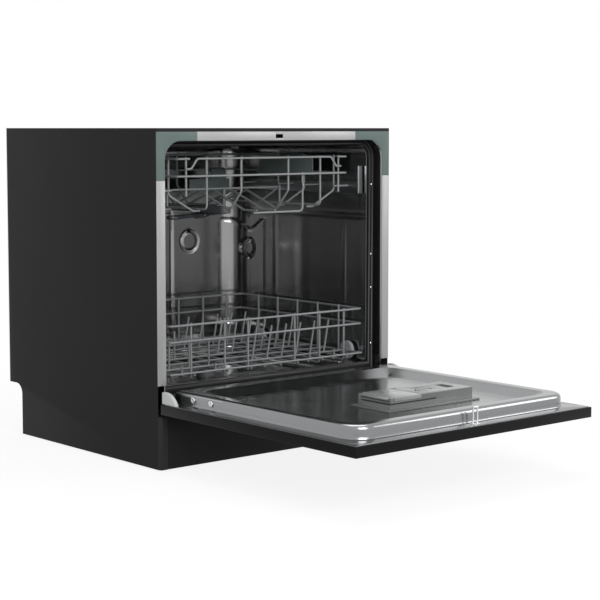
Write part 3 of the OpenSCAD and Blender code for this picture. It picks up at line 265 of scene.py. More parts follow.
silver_across = satin_strip("silver_across", "949494", (60, 1, 1))
silver_upright = satin_strip("silver_upright", "909090", (1, 1, 60))
corner_green = moulded("corner_green", "566260", 0.45, grain=0.0012, shine=0.12)
soften("front_trim_top", "top_strip", silver_across, edge=0.3)
soften("front_trim_sides", "side_strips", silver_upright, edge=0.3)
soften("front_trim_corners", "frame_corners", corner_green, edge=0.3)

# -------- latch
# The lock is a black box behind the top strip. Its bright steel hook drops in front of the
# bar of the door's loop.

lock_black = moulded("lock_black", "0c0d0e", 0.4, shine=0.05)
bright_steel = rolled("bright_steel", "d2d4d6", 0.22, along=(1, 12, 1), swing=0.05)
soften("door_lock", "lock_box", lock_black, edge=0.3)
soften("latch_hook", "latch_finger", bright_steel, edge=0.2)

# -------- hinges
# Zinc-plated brackets stand on the base and carry the pins on which the door's arms turn.
# Two coil springs in the base hold the door's weight.

plated_steel = rolled("plated_steel", "b4b6b8", 0.38, along=(1, 30, 1))
spring_steel = rolled("spring_steel", "a4a7a9", 0.3, along=(1, 1, 6))
soften("hinge_brackets", "hinge_plates", plated_steel, edge=0.3)
soften("door_springs", "balance_springs", spring_steel, edge=0.05, steps=1, sharp=70)

# -------- wash system
# Under the tub's floor lie the sump, two pumps, the heater and the softener. A pipe takes
# the water up behind the tub to the upper rack. The hoses' ports stand in the notch.

sump_plastic = moulded("sump_plastic", "4a4c4e", 0.5)
pump_black = moulded("pump_black", "2f3234", 0.45)
heater_steel = rolled("heater_steel", "b4b7b8", 0.3, along=(20, 20, 1))
tank_white = moulded("tank_white", "c8cac8", 0.4, tone=0.04)
pipe_grey = moulded("pipe_grey", "6b6e70", 0.45)
port_white = moulded("port_white", "dcdcd6", 0.38, tone=0.04)
tower_grey = moulded("tower_grey", "5b5f61", 0.4)
soften("sump", "sump_bowl", sump_plastic)
soften("wash_pump", "wash_pump_case", pump_black)
soften("drain_pump", "drain_pump_case", pump_black)
soften("flow_heater", "heater_case", heater_steel)
soften("water_softener", "softener_tank", tank_white)
soften("feed_pipe", "riser_pipe", pipe_grey, edge=0.3)
soften("inlet_valve", "inlet_port", port_white)
soften("drain_spigot", "drain_port", pipe_grey)
soften("cord_gland", "cable_gland", foot_rubber)
soften("spray_tower", "spray_post", tower_grey)
soften("filter_cup", "filter_beaker", tower_grey, edge=0.3)
soften("filter_plate", "filter_sheet", zinc_sheet, edge=0.2)
soften("salt_cap", "salt_lid", port_white)

# -------- tub
# The tub is a wrap of thin stainless sheet, welded to a pressed floor pan and to a stepped
# front strip. Pressed beads, rings and a scalloped field stiffen its walls.

FRONT = 4.5  # the cabinet's front plane in the frame, in millimetres


def box_of(node):
    """A solid's lowest and highest corners, in millimetres from the cabinet's front plane."""
    return [np.round(np.multiply(c, 1000) - (0, FRONT, 0), 1).tolist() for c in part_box(node)]


sheet_t = 1.2
floor_right, floor_back, ledge_z = box_of("tub_floor")[1]
wall_half, wall_back, step_y, ceiling_z = floor_right - sheet_t, floor_back - sheet_t, 31, 563
corner_r, ceiling_r, ledge_r, bend_steps = 45, 24, 8, 18


def metres(points):
    """Points in millimetres from the cabinet's front plane, in the frame's metres."""
    return (np.asarray(points, float).reshape(-1, 3) + (0, FRONT, 0)) / 1000


def grid_faces(rows, columns, round_rows=False, round_columns=False):
    """Faces between rows of points. A round grid joins its last row or column to its first."""
    last_r = rows if round_rows else rows - 1
    last_c = columns if round_columns else columns - 1
    return [(r * columns + c, r * columns + (c + 1) % columns,
             (r + 1) % rows * columns + (c + 1) % columns, (r + 1) % rows * columns + c)
            for r in range(last_r) for c in range(last_c)]


def sheet_mesh(name, parts, wall=0.0):
    """One mesh from (points, faces) parts with its doubles merged. A wall grows at its back."""
    mesh = bpy.data.meshes.new(name)
    points, faces, start = [], [], 0
    for part_points, part_faces in parts:
        points.append(metres(part_points))
        faces += [tuple(i + start for i in face) for face in part_faces]
        start += len(points[-1])
    mesh.from_pydata(np.concatenate(points).tolist(), [], faces)
    work = bmesh.new()
    work.from_mesh(mesh)
    bmesh.ops.remove_doubles(work, verts=work.verts, dist=MERGE)
    bmesh.ops.dissolve_degenerate(work, dist=MERGE / 2, edges=work.edges)
    if not wall:
        bmesh.ops.recalc_face_normals(work, faces=work.faces)
    work.to_mesh(mesh)
    work.free()
    if wall:
        carrier = bpy.data.objects.new(name, mesh)
        bpy.context.scene.collection.objects.link(carrier)
        sheet = carrier.modifiers.new("Wall", "SOLIDIFY")
        sheet.thickness, sheet.offset, sheet.use_even_offset = wall / 1000, -1.0, True
        mesh = baked(carrier)
    return mesh


def baked(carrier):
    """The plain mesh of an object with its modifiers. The object goes."""
    graph = bpy.context.evaluated_depsgraph_get()
    mesh = bpy.data.meshes.new_from_object(carrier.evaluated_get(graph))
    bpy.data.objects.remove(carrier)
    return mesh


def arc(cx, cy, r, start, end, steps):
    """Points of an arc in degrees, both ends included."""
    turns = [math.radians(start + (end - start) * i / steps) for i in range(steps + 1)]
    return [(cx + r * math.cos(t), cy + r * math.sin(t)) for t in turns]


def spread(points, pitch):
    """A path's points with others between them, no further apart than the pitch."""
    dense = [points[0]]
    for a, b in zip(points, points[1:]):
        steps = max(1, math.ceil(math.dist(a, b) / pitch))
        dense += [tuple(np.add(a, np.subtract(b, a) * k / steps)) for k in range(1, steps + 1)]
    return dense


def bell(distance, half_width):
    """1 at the middle of a bead, falling smoothly to 0 at half_width from it."""
    t = np.clip(np.abs(distance) / half_width, 0, 1)
    return (1 - t * t) ** 2


# Upright beads of a side wall, as (depth, place from the front, half width)
side_beads = ((1.8, 95, 5), (2.4, 306, 4.5), (-1.2, 220, 26))
bead_z, bead_reach, lip_bead_y, rail_bead_z = 292, 126, 45, 424
# Pressed field at the rear of a side wall, the scallop in its upper edge, and a ring in it
field_front, field_rear, field_foot, field_top, field_depth = 340, 442, 186, 404, 1.6
scallop_y, scallop_reach, scallop_depth = 391, 44, 20
side_ring_y, side_ring_z, side_ring_r = 395, 344, 18
# Creases and rings of the back wall, on both sides of its middle
crease_x, crease_z, crease_reach = 77, 300, 140
back_ring_x, back_ring_z, back_ring_r = 123, 361, 21


def pressed(x, y, z):
    """How far the wall is pressed outwards at a place, in millimetres. Inwards is less than 0."""
    side = np.abs(x) > 200
    upright = bell(z - bead_z, bead_reach) ** 0.2
    depth = side * upright * sum(lift * bell(y - place, width) for lift, place, width in side_beads)
    depth += side * 1.6 * bell(z - rail_bead_z, 7) * (y < 405)
    depth += side * 1.0 * bell(y - lip_bead_y, 4)
    scallop = field_top - scallop_depth * bell(y - scallop_y, scallop_reach)
    edge = np.minimum(np.minimum(y - field_front, field_rear - y),
                      np.minimum(scallop - z, z - field_foot))
    depth += side * (field_depth * np.clip(edge / 5, 0, 1) + 2.4 * bell(edge - 1, 5))
    ring = np.hypot(y - side_ring_y, z - side_ring_z)
    depth += side * 3.0 * bell(ring - side_ring_r, 4.2)
    back = (y > 380) * (np.abs(x) < 195)
    depth += back * 2.6 * bell(np.abs(x) - crease_x, 5) * bell(z - crease_z, crease_reach) ** 0.2
    ring = np.hypot(np.abs(x) - back_ring_x, z - back_ring_z)
    depth += back * 2.6 * bell(ring - back_ring_r, 4.5)
    depth += back * 1.4 * bell(z - rail_bead_z, 7)
    return depth


# Wrap: the walls' plan, and the section from the ledge up to the ceiling's edge, with points
# that lie closest where the fields, creases and rings are
fine_y, fine_z = 334, (180, 432)
depths = [y for _, y in spread([(0, step_y), (0, fine_y)], 4.5)[:-1]
          + spread([(0, fine_y), (0, wall_back - corner_r)], 2.6)]
plan = [("left", y) for y in depths] + [("bend_left", a) for a in range(1, bend_steps)]
flat_half = wall_half - corner_r
plan += [("back", x) for _, x in spread([(0, -flat_half), (0, flat_half)], 3.6)]
plan += [("bend_right", a) for a in range(1, bend_steps)] + [("right", y) for y in reversed(depths)]
foot_z, head_z = ledge_z + ledge_r, ceiling_z - ceiling_r
section = arc(ledge_r, foot_z, ledge_r, 270, 180, 6)[:-1]
section += (spread([(0, foot_z), (0, fine_z[0])], 5)[:-1]
            + spread([(0, fine_z[0]), (0, fine_z[1])], 3)[:-1]
            + spread([(0, fine_z[1]), (0, head_z)], 5))
section += arc(ceiling_r, head_z, ceiling_r, 180, 90, 10)[1:]
wrap = []
for inset, z in section:
    for kind, along in plan:
        sign = -1 if kind in ("left", "bend_left") else 1
        if kind in ("left", "right"):
            place, out = (sign * (wall_half - inset), along), (sign, 0)
        elif kind == "back":
            place, out = (along, wall_back - inset), (0, 1)
        else:
            turn = math.radians(90 * along / bend_steps)
            turn = turn if kind == "bend_left" else math.pi / 2 - turn
            out = (sign * math.cos(turn), math.sin(turn))
            place = (sign * flat_half + out[0] * (corner_r - inset),
                     wall_back - corner_r + out[1] * (corner_r - inset))
        wrap.append((*place, z, *out, inset))
wrap = np.array(wrap)
push = np.where(wrap[:, 5] == 0, pressed(wrap[:, 0], wrap[:, 1], wrap[:, 2]), 0)
wrap = wrap[:, :3] + push[:, None] * np.c_[wrap[:, 3:5], np.zeros(len(wrap))]
ceiling = tuple(range((len(section) - 1) * len(plan), len(section) * len(plan)))
walls = (wrap, grid_faces(len(section), len(plan)) + [ceiling])


def holed(outline, holes, facing=(0, 0, 1)):
    """A flat plate that fills a ring of points and leaves the rings of its holes open."""
    work = bmesh.new()
    for ring in [outline, *holes]:
        points = [work.verts.new(p) for p in ring]
        for a, b in zip(points, points[1:] + points[:1]):
            work.edges.new((a, b))
    bmesh.ops.triangle_fill(work, use_beauty=True, use_dissolve=False, edges=work.edges,
                            normal=facing)
    work.verts.index_update()
    points = [tuple(v.co) for v in work.verts]
    faces = [tuple(v.index for v in f.verts) for f in work.faces]
    work.free()
    return points, faces


# Stepped front strip: from the wrap's arch to the mouth's, forward, and out to the flange
def arch_loop(half_w, foot, top, r, y):
    """An arch across the machine, from its right foot over its rounded top to its left foot."""
    right = [(half_w, foot)] + arc(half_w - r, top - r, r, 0, 90, 8)
    return [(x, y, z) for x, z in right] + [(-x, y, z) for x, z in reversed(right)]


strip_foot, flange_foot, flange_y, flange_lip = ledge_z - 37.5, 149, 2.4, (258.5, 574.5, 35.5)
loops = [arch_loop(wall_half, ledge_z, ceiling_z, ceiling_r, step_y),
         arch_loop(wall_half + 1, ledge_z, ceiling_z + 1, ceiling_r + 1, step_y - 1),
         arch_loop(255, strip_foot + 1.5, 571, 32, step_y - 1),
         arch_loop(257, strip_foot, 573, 34, step_y - 4), arch_loop(257, strip_foot, 573, 34, 4.5),
         arch_loop(flange_lip[0], strip_foot, *flange_lip[1:], flange_y)]
count, sill_loops = len(loops[0]), 3
strip = [p for loop in loops for p in loop]
# Only the first loops run along the sill. The others end at their feet.
strip_faces = [f for f in grid_faces(len(loops), count, round_columns=True)
               if not (f[0] % count == count - 1 and f[0] // count >= sill_loops)]
# Flange behind the frame, with the slot that lets the door's loop through
slot_corners = ((-8.9, 576.2), (8.9, 576.2), (8.9, 584.4), (-8.9, 584.4))
loop_slot = [(x, flange_y, z) for x, z in slot_corners]
flange_edge = arch_loop(flange_lip[0], flange_foot, *flange_lip[1:], flange_y)
flange_edge += arch_loop(273.8, flange_foot, 589, 3, flange_y)[::-1]
flange = holed(flange_edge, [loop_slot], (0, -1, 0))
front_strip = [(strip, [f[::-1] for f in strip_faces]), flange]


# Floor pan: ledge, rounded rim, basin with a rounded foot, and holes for what stands in it
def rounded(half_w, y0, y1, front_r, rear_r, z, steps=8):
    """A rounded rectangle as a ring of points, with its own radius at the front and the rear."""
    ring = []
    for cx, cy, r, start in ((half_w - rear_r, y1 - rear_r, rear_r, 0),
                             (rear_r - half_w, y1 - rear_r, rear_r, 90),
                             (front_r - half_w, y0 + front_r, front_r, 180),
                             (half_w - front_r, y0 + front_r, front_r, 270)):
        ring += arc(cx, cy, r, start, start + 90, steps)
    return [(x, y, z) for x, y in ring]


basin_half, basin_front, basin_rear, basin_r, basin_z = 212, 48, 404, 30, 115
pan_rim_r, pan_foot_r = 7, 12


def basin_ring(out, z):
    """The basin's outline at a height, out millimetres outside its walls."""
    r = basin_r + out
    return rounded(basin_half + out, basin_front - out, basin_rear + out, r, r, z)


rings = [rounded(wall_half, step_y, wall_back, 0.5, corner_r, ledge_z),
         rounded(basin_half + 8, basin_front - 8, basin_rear + 8, 34, 38, ledge_z)]
rings += [basin_ring(out, ledge_z + z) for out, z in
          arc(pan_rim_r, -pan_rim_r, pan_rim_r, 90, 180, 5)[1:]]
rings += [basin_ring(-inset, basin_z + z) for inset, z in
          arc(pan_foot_r, pan_foot_r, pan_foot_r, 180, 270, 5)]
pan = [p for ring in rings for p in ring]
pan_faces = grid_faces(len(rings), len(rings[0]), round_columns=True)
# Holes of the filter, of the lower arm's hub and of the softener's neck
floor_holes = [[(px, py, basin_z) for px, py in arc(x, y, r, 0, 360, 40)[:-1]]
               for x, y, r in ((78, 150, 44), (0, 226, 14), (-140, 318, 23))]
floor_plate = holed(rings[-1], floor_holes)

steel_wall = rolled("steel_wall", "929292", 0.17, line=0.0005, tone=0.08, depth=0.000004,
                    swing=0.04, wave=0.0012)
tub_sheet = 1.0
wrap_mesh = sheet_mesh("tub_wrap", [walls], wall=tub_sheet)
place_piece("tub_wrap", wrap_mesh, steel_wall, "cabinet", ("tub_shell",), 50)
strip_mesh = sheet_mesh("tub_front_strip", front_strip, wall=tub_sheet)
place_piece("tub_front_strip", strip_mesh, steel_wall, "cabinet")
pan_mesh = sheet_mesh("tub_floor_pan", [(pan, pan_faces), floor_plate], wall=tub_sheet)
place_piece("tub_floor_pan", pan_mesh, steel_wall, "cabinet", ("tub_floor",))

# -------- door gasket
# A black rubber bulb runs around the mouth in front of the step, with a thin skirt that lines
# the mouth. Small steel clips hold it at the sides.

# The seal's space at the tub's walls, and how much further out the mouth's wall is
tub_side, tub_foot, tub_top, tub_bend = 244.3, 142.2, 563.3, 24.3
mouth_out, mouth_down, mouth_up = 12.4, 24, 9.4


def swept_arch(profile, rise=0.0, closed=True):
    """A tube around the mouth. Its profile gives (share from tub to mouth, depth).

    A closed one runs along the sill too. An open one ends with a cap at each foot, at its rise.
    """
    rows = [arch_loop(tub_side + mouth_out * share, tub_foot - mouth_down * share + rise,
                      tub_top + mouth_up * share, tub_bend + mouth_up * share, depth)
            for share, depth in profile]
    columns = len(rows[0])
    faces = grid_faces(len(rows), columns, True, closed)
    if not closed:
        faces += [tuple(k * columns for k in range(len(rows)))[::-1],
                  tuple(k * columns + columns - 1 for k in range(len(rows)))]
    return [p for row in rows for p in row], faces


bulb = [(0, 30.9), (0, 27), (0.06, 24.6), (0.18, 23), (0.34, 22.6), (0.48, 23.4), (0.56, 25.2),
        (0.64, 25.6), (0.72, 24.4), (0.8, 23.2), (0.88, 22.8), (0.96, 23.0), (1, 24.0), (1, 30.9)]
skirt = [(0.9, 22.6), (0.9, 12), (0.9, 5), (0.94, 4.2), (1, 4.6), (1, 22.6)]
skirt_rise = 38
seal_black = moulded("seal_black", "161617", 0.4, grain=0.0011, tone=0.18, shine=0.3)
seal_mesh = sheet_mesh("gasket_bulb", [swept_arch(bulb), swept_arch(skirt, skirt_rise, False)])
place_piece("gasket_bulb", seal_mesh, seal_black, "cabinet", ("door_gasket",), 60)


def turned(profile, centre, axis="z", steps=32):
    """A closed solid turned from (radius, height) points about an axis through a centre."""
    order = {"z": (0, 1, 2), "x": (2, 0, 1), "y": (1, 2, 0)}[axis]
    rows = []
    for radius, height in profile:
        for k in range(steps):
            turn = 2 * math.pi * k / steps
            local = (radius * math.cos(turn), radius * math.sin(turn), height)
            rows.append(tuple(centre[i] + local[order[i]] for i in range(3)))
    return rows, grid_faces(len(profile), steps, round_columns=True)


POLE = 0.001  # radius of a profile's end at its axis, so that its points merge into one


def domed_head(radius, height, steps=5):
    """The profile of a rounded rivet head, closed at its foot and at its crown."""
    turns = [math.radians(90 * k / steps) for k in range(steps + 1)]
    return [(POLE, 0)] + [(radius * math.cos(t) + POLE, height * math.sin(t)) for t in turns]


bright_rivet = rolled("bright_rivet", "cfd1d3", 0.2, along=(1, 1, 1), swing=0.05)
clip_x, clip_face, clip_heights = 250, 22.6, (178, 287, 352, 487)
clips = [turned([(r, -h) for r, h in domed_head(2.6, 1.6)], (side * clip_x, clip_face, z), "y", 16)
         for side in (-1, 1) for z in clip_heights]
clip_mesh = sheet_mesh("gasket_clips", clips)
place_piece("gasket_clips", clip_mesh, bright_rivet, "cabinet")

# -------- rack rollers
# Two pairs of rollers on dark carriers stand out from the tub's walls and carry the upper
# rack's runners.

dark_clip = moulded("dark_clip", "4d5052", 0.4)
roller_grey = moulded("roller_grey", "a6a9a9", 0.35)
soften("roller_carriers", "roller_brackets", dark_clip, edge=0.8)
soften("rack_rollers_front", "rollers_front_pair", roller_grey, edge=0.5)
soften("rack_rollers_rear", "rollers_rear_pair", roller_grey, edge=0.5)

# -------- spray arms
# Each arm is a hollow blade with a domed back, moulded with its hub. A row of nozzles along
# both of its halves throws the water upwards. The upper arm's duct hangs under its rack.


def spray_arm(name, node, finish, reach, hub_r, bore_r, turn, nozzles):
    """Two domed blades and a hub about the solid's axis, with raised nozzles on top.

    The reach is the blades' length, and turn is their angle in degrees.
    """
    low, high = box_of(node)
    cx, cy, foot, thick = (low[0] + high[0]) / 2, (low[1] + high[1]) / 2, low[2], high[2] - low[2]
    parts = []
    tip_r, root = 12, hub_r - 2
    straight = reach - tip_r
    cross = [(math.cos(math.radians(a)), math.sin(math.radians(a))) for a in range(0, 360, 20)]
    for way in (-1, 1):
        rows = []
        stations = [hub_r - 5] + [hub_r + (straight - hub_r) * k / 8 for k in range(9)]
        stations += [straight + tip_r * math.sin(math.radians(a)) for a in (25, 45, 62, 76, 87)]
        for s in stations:
            width = root + (tip_r - root) * min(1.0, s / straight)
            if s > straight:
                width = tip_r * math.sqrt(max(0.003, 1 - ((s - reach + tip_r) / tip_r) ** 2))
            for c, h in cross:
                flat = math.copysign(abs(c) ** 0.7, c)
                dome = math.copysign(abs(h) ** 0.6, h)
                rows.append((way * s, way * flat * width, thick * (0.5 + 0.5 * dome)))
        end = (len(stations) - 1) * len(cross)
        caps = [tuple(range(len(cross)))[::-1], tuple(range(end, end + len(cross)))]
        parts.append((rows, grid_faces(len(stations), len(cross), round_columns=True) + caps))
        for k in range(1, nozzles + 1):
            x, y = hub_r + (straight - hub_r) * k / nozzles - 3, (k % 2) * 8 - 4
            ring = [(1.0, thick - 1.4), (3.2, thick - 1.2), (2.8, thick), (1.4, thick),
                    (1.2, thick - 0.8)]
            parts.append(turned(ring, (way * x, way * y, 0), "z", 14))
    rim = [(bore_r, 0.6), (hub_r - 1, 0), (hub_r, 1), (hub_r, thick - 1.5), (hub_r - 1.5, thick),
           (bore_r, thick)]
    sides = 40
    hub, _ = turned(rim, (0, 0, 0), "z", sides)
    parts.append((hub, grid_faces(len(rim), sides, True, True)))
    across, along = math.cos(math.radians(turn)), math.sin(math.radians(turn))
    placed = [([(cx + x * across - y * along, cy + x * along + y * across, foot + z)
                for x, y, z in points], faces) for points, faces in parts]
    body = frame["nodes"][node]["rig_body"]
    place_piece(name, sheet_mesh(name, placed), finish, body, (node,), 45)


arm_grey = moulded("arm_grey", "56595b", 0.3, tone=0.08)
arm_dark = moulded("arm_dark", "34373a", 0.22, tone=0.1)
spray_arm("lower_arm_blades", "lower_spray_arm", arm_grey, reach=168, hub_r=22, bore_r=10.05,
          turn=20, nozzles=5)
spray_arm("upper_arm_blades", "upper_spray_arm", arm_dark, reach=128, hub_r=18, bore_r=8.05,
          turn=27, nozzles=4)
soften("upper_spray_duct", "upper_water_duct", dark_clip, edge=0.8)

# -------- door
# The door is a painted steel pan, glossy black outside, and a pressed stainless liner with a
# flat rim, a shallow tray and rounded far corners.

door_black = moulded("door_black", "141414", 0.3, grain=0.003, depth=0.00001, tone=0.06, shine=0.06)
soften("door_outer_panel", "door_pan", door_black, edge=0.8)

_, liner_near, rim_top = box_of("door_liner")[1]
liner_half, liner_far, flange_top, tray_z, rim_r = 250, -479.5, 119.2, rim_top - 13, 8
corner_steps, hem = 10, 0.6


def liner_ring(inset, z, far_r=40.0, near_inset=None, near_r=hem):
    """A ring of the liner at a distance inside its block, with its own inset at the hinges."""
    near = inset if near_inset is None else near_inset
    return rounded(liner_half - inset, liner_far + inset, liner_near - near, max(far_r - inset, 1),
                   near_r, z, corner_steps)


def flange_ring(inset, z):
    """A ring of the flange that lies on the door's outer panel."""
    return rounded(272.3 - inset, inset - 503.8, liner_near, 4, hem, z, corner_steps)


liner = [flange_ring(0, 118.1), flange_ring(0, 118.9), flange_ring(0.6, flange_top)]
liner += [liner_ring(inset, z, near_inset=0) for inset, z in
          ((-4, flange_top), (-1.2, 120.2), (-0.2, 122.5), (0, 126), (0, rim_top - rim_r - 0.6))]
for turn in (math.radians(a) for a in (12, 24, 36, 48, 60, 72, 82, 90)):
    inset, fall = rim_r - rim_r * math.cos(turn), rim_r - rim_r * math.sin(turn)
    liner.append(liner_ring(inset, rim_top - fall))
# From the rim down to the tray, wider at the hinges and with rounder corners
slope = [(22, rim_top), (23.5, 141.9), (25, 141.4), (27, 140.5), (31, 138.9), (50, 132.0),
         (55, 130.3), (58, 129.5), (61, 129.1), (64, tray_z)]
tray_r, tray_set_back = 52, 12
liner += [liner_ring(inset, z, tray_r, inset + tray_set_back, max(4, tray_r - inset))
          for inset, z in slope]
block_faces = grid_faces(len(liner), len(liner[0]), round_columns=True)
block = ([p for ring in liner for p in ring], block_faces)
# Hole for the dispenser's tank, 2 mm inside the edges of its box
box_end, box_near, box_far, box_right = -66, -362, -284, 130
well = [(x, y, tray_z) for x, y in ((box_end + 2, box_near + 2), (box_right - 2, box_near + 2),
                                    (box_right - 2, box_far - 2), (box_end + 2, box_far - 2))]
liner_mesh = sheet_mesh("door_tray", [block, holed(liner[-1], [well])], wall=0.8)
steel_liner = rolled("steel_liner", "8c8d8e", 0.2, along=(60, 1, 1), line=0.0006, tone=0.08,
                     swing=0.05, wave=0.0012)
place_piece("door_tray", liner_mesh, steel_liner, "door", ("door_liner",), 45)

cover_pale = moulded("cover_pale", "aeb0b0", 0.4)
soften("door_hinge_arms", "hinge_levers", plated_steel, edge=0.3)
soften("hinge_covers", "hinge_caps", cover_pale, edge=1.2, steps=3)
soften("door_screws", "arm_screws", bright_rivet, edge=0.3)
soften("striker_loop", "lock_loop", bright_steel, edge=0.2)
soften("door_lower_seal", "sill_seal", seal_black, edge=1.0, steps=3)

# -------- dispenser
# The detergent box in the tray is a grey moulding with a pale swing-up lid, a slide that
# catches it, and a screw cap over the rinse aid tank.

box_grey = moulded("box_grey", "565858", 0.2, tone=0.06, shine=0.7)
lid_pale = moulded("lid_pale", "7c7e7d", 0.22, tone=0.05, shine=0.6)
catch_dark = moulded("catch_dark", "2b2d2e", 0.4)
soften("dispenser_body", "detergent_box", box_grey, edge=0.6, steps=3)
soften("dispenser_lid", "detergent_flap", lid_pale, edge=0.5)
soften("dispenser_latch", "flap_catch", catch_dark, edge=0.4)
# Painted shade: a thin black strip set in the parting line of the box's cover, along its near side
# and round its end, so that the groove looks dark
groove_shade_out, groove_shade_in, groove_shade_reach, groove_shade_far = 0.9, 1.95, 107, 70
groove_shade_low, groove_shade_high = 139.85, 141.55
groove_shade_plan = [(groove_shade_out, groove_shade_far), (groove_shade_out, groove_shade_out), (groove_shade_reach, groove_shade_out),
             (groove_shade_reach, groove_shade_in), (groove_shade_in, groove_shade_in), (groove_shade_in, groove_shade_far)]
groove_shade_points = [(box_end + x, box_near + y, z) for z in (groove_shade_low, groove_shade_high) for x, y in groove_shade_plan]
corners = len(groove_shade_plan)
groove_shade_faces = grid_faces(2, corners, round_columns=True)
groove_shade_faces += [tuple(range(corners))[::-1], tuple(range(corners, 2 * corners))]
groove_shade_mesh = sheet_mesh("groove_shade_strip", [(groove_shade_points, groove_shade_faces)])
# This black strip is painted shade in the cover's groove, not a part of its own
place_piece("groove_shade_strip", groove_shade_mesh, seal_black, "door")
soften("rinse_aid_cap", "tank_cap", lid_pale, edge=0.6)

# -------- controls
# A black panel along the door's free edge holds two steel buttons. Its circuit board sits
# behind them on three posts.

panel_black = moulded("panel_black", "141415", 0.2, grain=0.004, depth=0.000008, tone=0.08,
                      shine=0.12)
button_steel = rolled("button_steel", "9a9d9f", 0.3, along=(40, 1, 1))
board_green = moulded("board_green", "2b5a3a", 0.35, grain=0.004)
soften("control_fascia", "control_strip", panel_black, edge=0.3)
soften("control_board", "circuit_board", board_green, edge=0.1)
for key in ("power", "start"):
    soften(key + "_button", key + "_key", button_steel, edge=0.25)

# -------- lower rack
# The lower rack is welded from steel wire and dipped in grey plastic. Four wheels on short
# stubs run on the tub's ledge and on the open door.


def wire_tree():
    """Nodes that turn edges into round wire with bent corners and rounded ends."""
    tree = bpy.data.node_groups.new("bent_wire", "GeometryNodeTree")
    new = tree.interface.new_socket
    new("Geometry", in_out="INPUT", socket_type="NodeSocketGeometry")
    for name, value in (("Wire radius", 0.002), ("Bend radius", 0.006)):
        new(name, in_out="INPUT", socket_type="NodeSocketFloat").default_value = value
    new("Sides", in_out="INPUT", socket_type="NodeSocketInt").default_value = 10
    new("Coat", in_out="INPUT", socket_type="NodeSocketMaterial")
    new("Geometry", in_out="OUTPUT", socket_type="NodeSocketGeometry")
    made = {}

    def add(key, kind, settings=(), values=()):
        """Adds a node under a key. A value of (key, output) is a link."""
        node = made[key] = tree.nodes.new(kind)
        for name, value in dict(settings).items():
            setattr(node, name, value)
        for socket, value in dict(values).items():
            if isinstance(value, tuple):
                tree.links.new(made[value[0]].outputs[value[1]], node.inputs[socket])
            else:
                node.inputs[socket].default_value = value

    add("in", "NodeGroupInput")
    add("path", "GeometryNodeMeshToCurve", {}, {"Mesh": ("in", "Geometry")})
    add("bent", "GeometryNodeFilletCurve", {"mode": "POLY"},
        {"Curve": ("path", 0), "Count": 4, "Radius": ("in", "Bend radius"), "Limit Radius": True})
    add("round", "GeometryNodeCurvePrimitiveCircle", {},
        {"Resolution": ("in", "Sides"), "Radius": ("in", "Wire radius")})
    add("wire", "GeometryNodeCurveToMesh", {},
        {"Curve": ("bent", 0), "Profile Curve": ("round", 0), "Fill Caps": True})
    add("ends", "GeometryNodeCurveEndpointSelection")
    add("ball", "GeometryNodeMeshUVSphere", {},
        {"Segments": ("in", "Sides"), "Rings": 6, "Radius": ("in", "Wire radius")})
    add("tips", "GeometryNodeInstanceOnPoints", {},
        {"Points": ("bent", 0), "Selection": ("ends", 0), "Instance": ("ball", 0)})
    add("all", "GeometryNodeJoinGeometry", {}, {"Geometry": ("wire", 0)})
    tree.links.new(made["tips"].outputs[0], made["all"].inputs[0])
    add("real", "GeometryNodeRealizeInstances", {}, {"Geometry": ("all", 0)})
    add("coat", "GeometryNodeSetMaterial", {},
        {"Geometry": ("real", 0), "Material": ("in", "Coat")})
    add("out", "NodeGroupOutput", {}, {0: ("coat", 0)})
    return tree


bent_wire = wire_tree()


def wires(name, finish, paths, radius=2.0, bend=6.0, sides=10):
    """One mesh of round wires along paths of points. A path that ends where it began is a ring."""
    points, edges = [], []
    for path in paths:
        ring = path[0] == path[-1]
        start, count = len(points), len(path) - ring
        points += path[:count]
        edges += [(start + k, start + (k + 1) % count) for k in range(count if ring else count - 1)]
    mesh = bpy.data.meshes.new(name)
    mesh.from_pydata(metres(points).tolist(), edges, [])
    carrier = bpy.data.objects.new(name, mesh)
    bpy.context.scene.collection.objects.link(carrier)
    modifier = carrier.modifiers.new("Wires", "NODES")
    modifier.node_group = bent_wire
    named = {s.name: s.identifier for s in bent_wire.interface.items_tree if s.in_out == "INPUT"}
    for label, value in (("Wire radius", radius / 1000), ("Bend radius", bend / 1000),
                         ("Sides", sides), ("Coat", finish)):
        modifier[named[label]] = value
    return baked(carrier)


def ring_path(half_w, y0, y1, z):
    """A level wire around a rack, back to where it began."""
    corners = [(-half_w, y0, z), (half_w, y0, z), (half_w, y1, z), (-half_w, y1, z)]
    return corners + corners[:1]


coat_grey = moulded("coat_grey", "767879", 0.3, grain=0.003, depth=0.00002, tone=0.1, shine=0.4)
weld = 4.0  # between the middles of two wires that cross
(_, low_front, foot_z), (_, low_back, _) = box_of("lower_rack_basket")
low_front, low_back, foot_z = low_front + weld / 2, low_back - weld / 2, foot_z + weld / 2
low_half, low_floor, low_rims, post_top, post_foot = 229, 160.5, (247, 218), 248.5, 155
# Upright wires of the front, each with its place and whether it ends in a foot
posts = ((-180, True), (-104, True), (-50, False), (62, False), (124, True), (186, True))
foot_back, foot_up = 59, 166
low = [ring_path(low_half, low_front, low_back, z) for z in low_rims]
for x, footed in posts:
    y = low_front + weld
    foot = [(x, y, foot_z), (x, foot_back, foot_z), (x, foot_back, foot_up)]
    low.append([(x, y, post_top), *foot] if footed else [(x, y, post_foot), (x, y, post_top)])
    low.append([(x, low_back - weld, z) for z in (post_foot, post_top)])
# Floor: long wires on cross wires
long_z, long_x = 156.5, [x + weld for x, _ in posts] + [-14, 24, 92, 155]
low += [[(x, low_front - 1, long_z), (x, low_back + 1, long_z)] for x in long_x]
low_deep = low_back - low_front
rows = [low_front + low_deep * i / 7 for i in range(1, 7)]
low += [[(x, y, low_floor) for x in (-low_half, low_half)] for y in (low_front, low_back, *rows)]
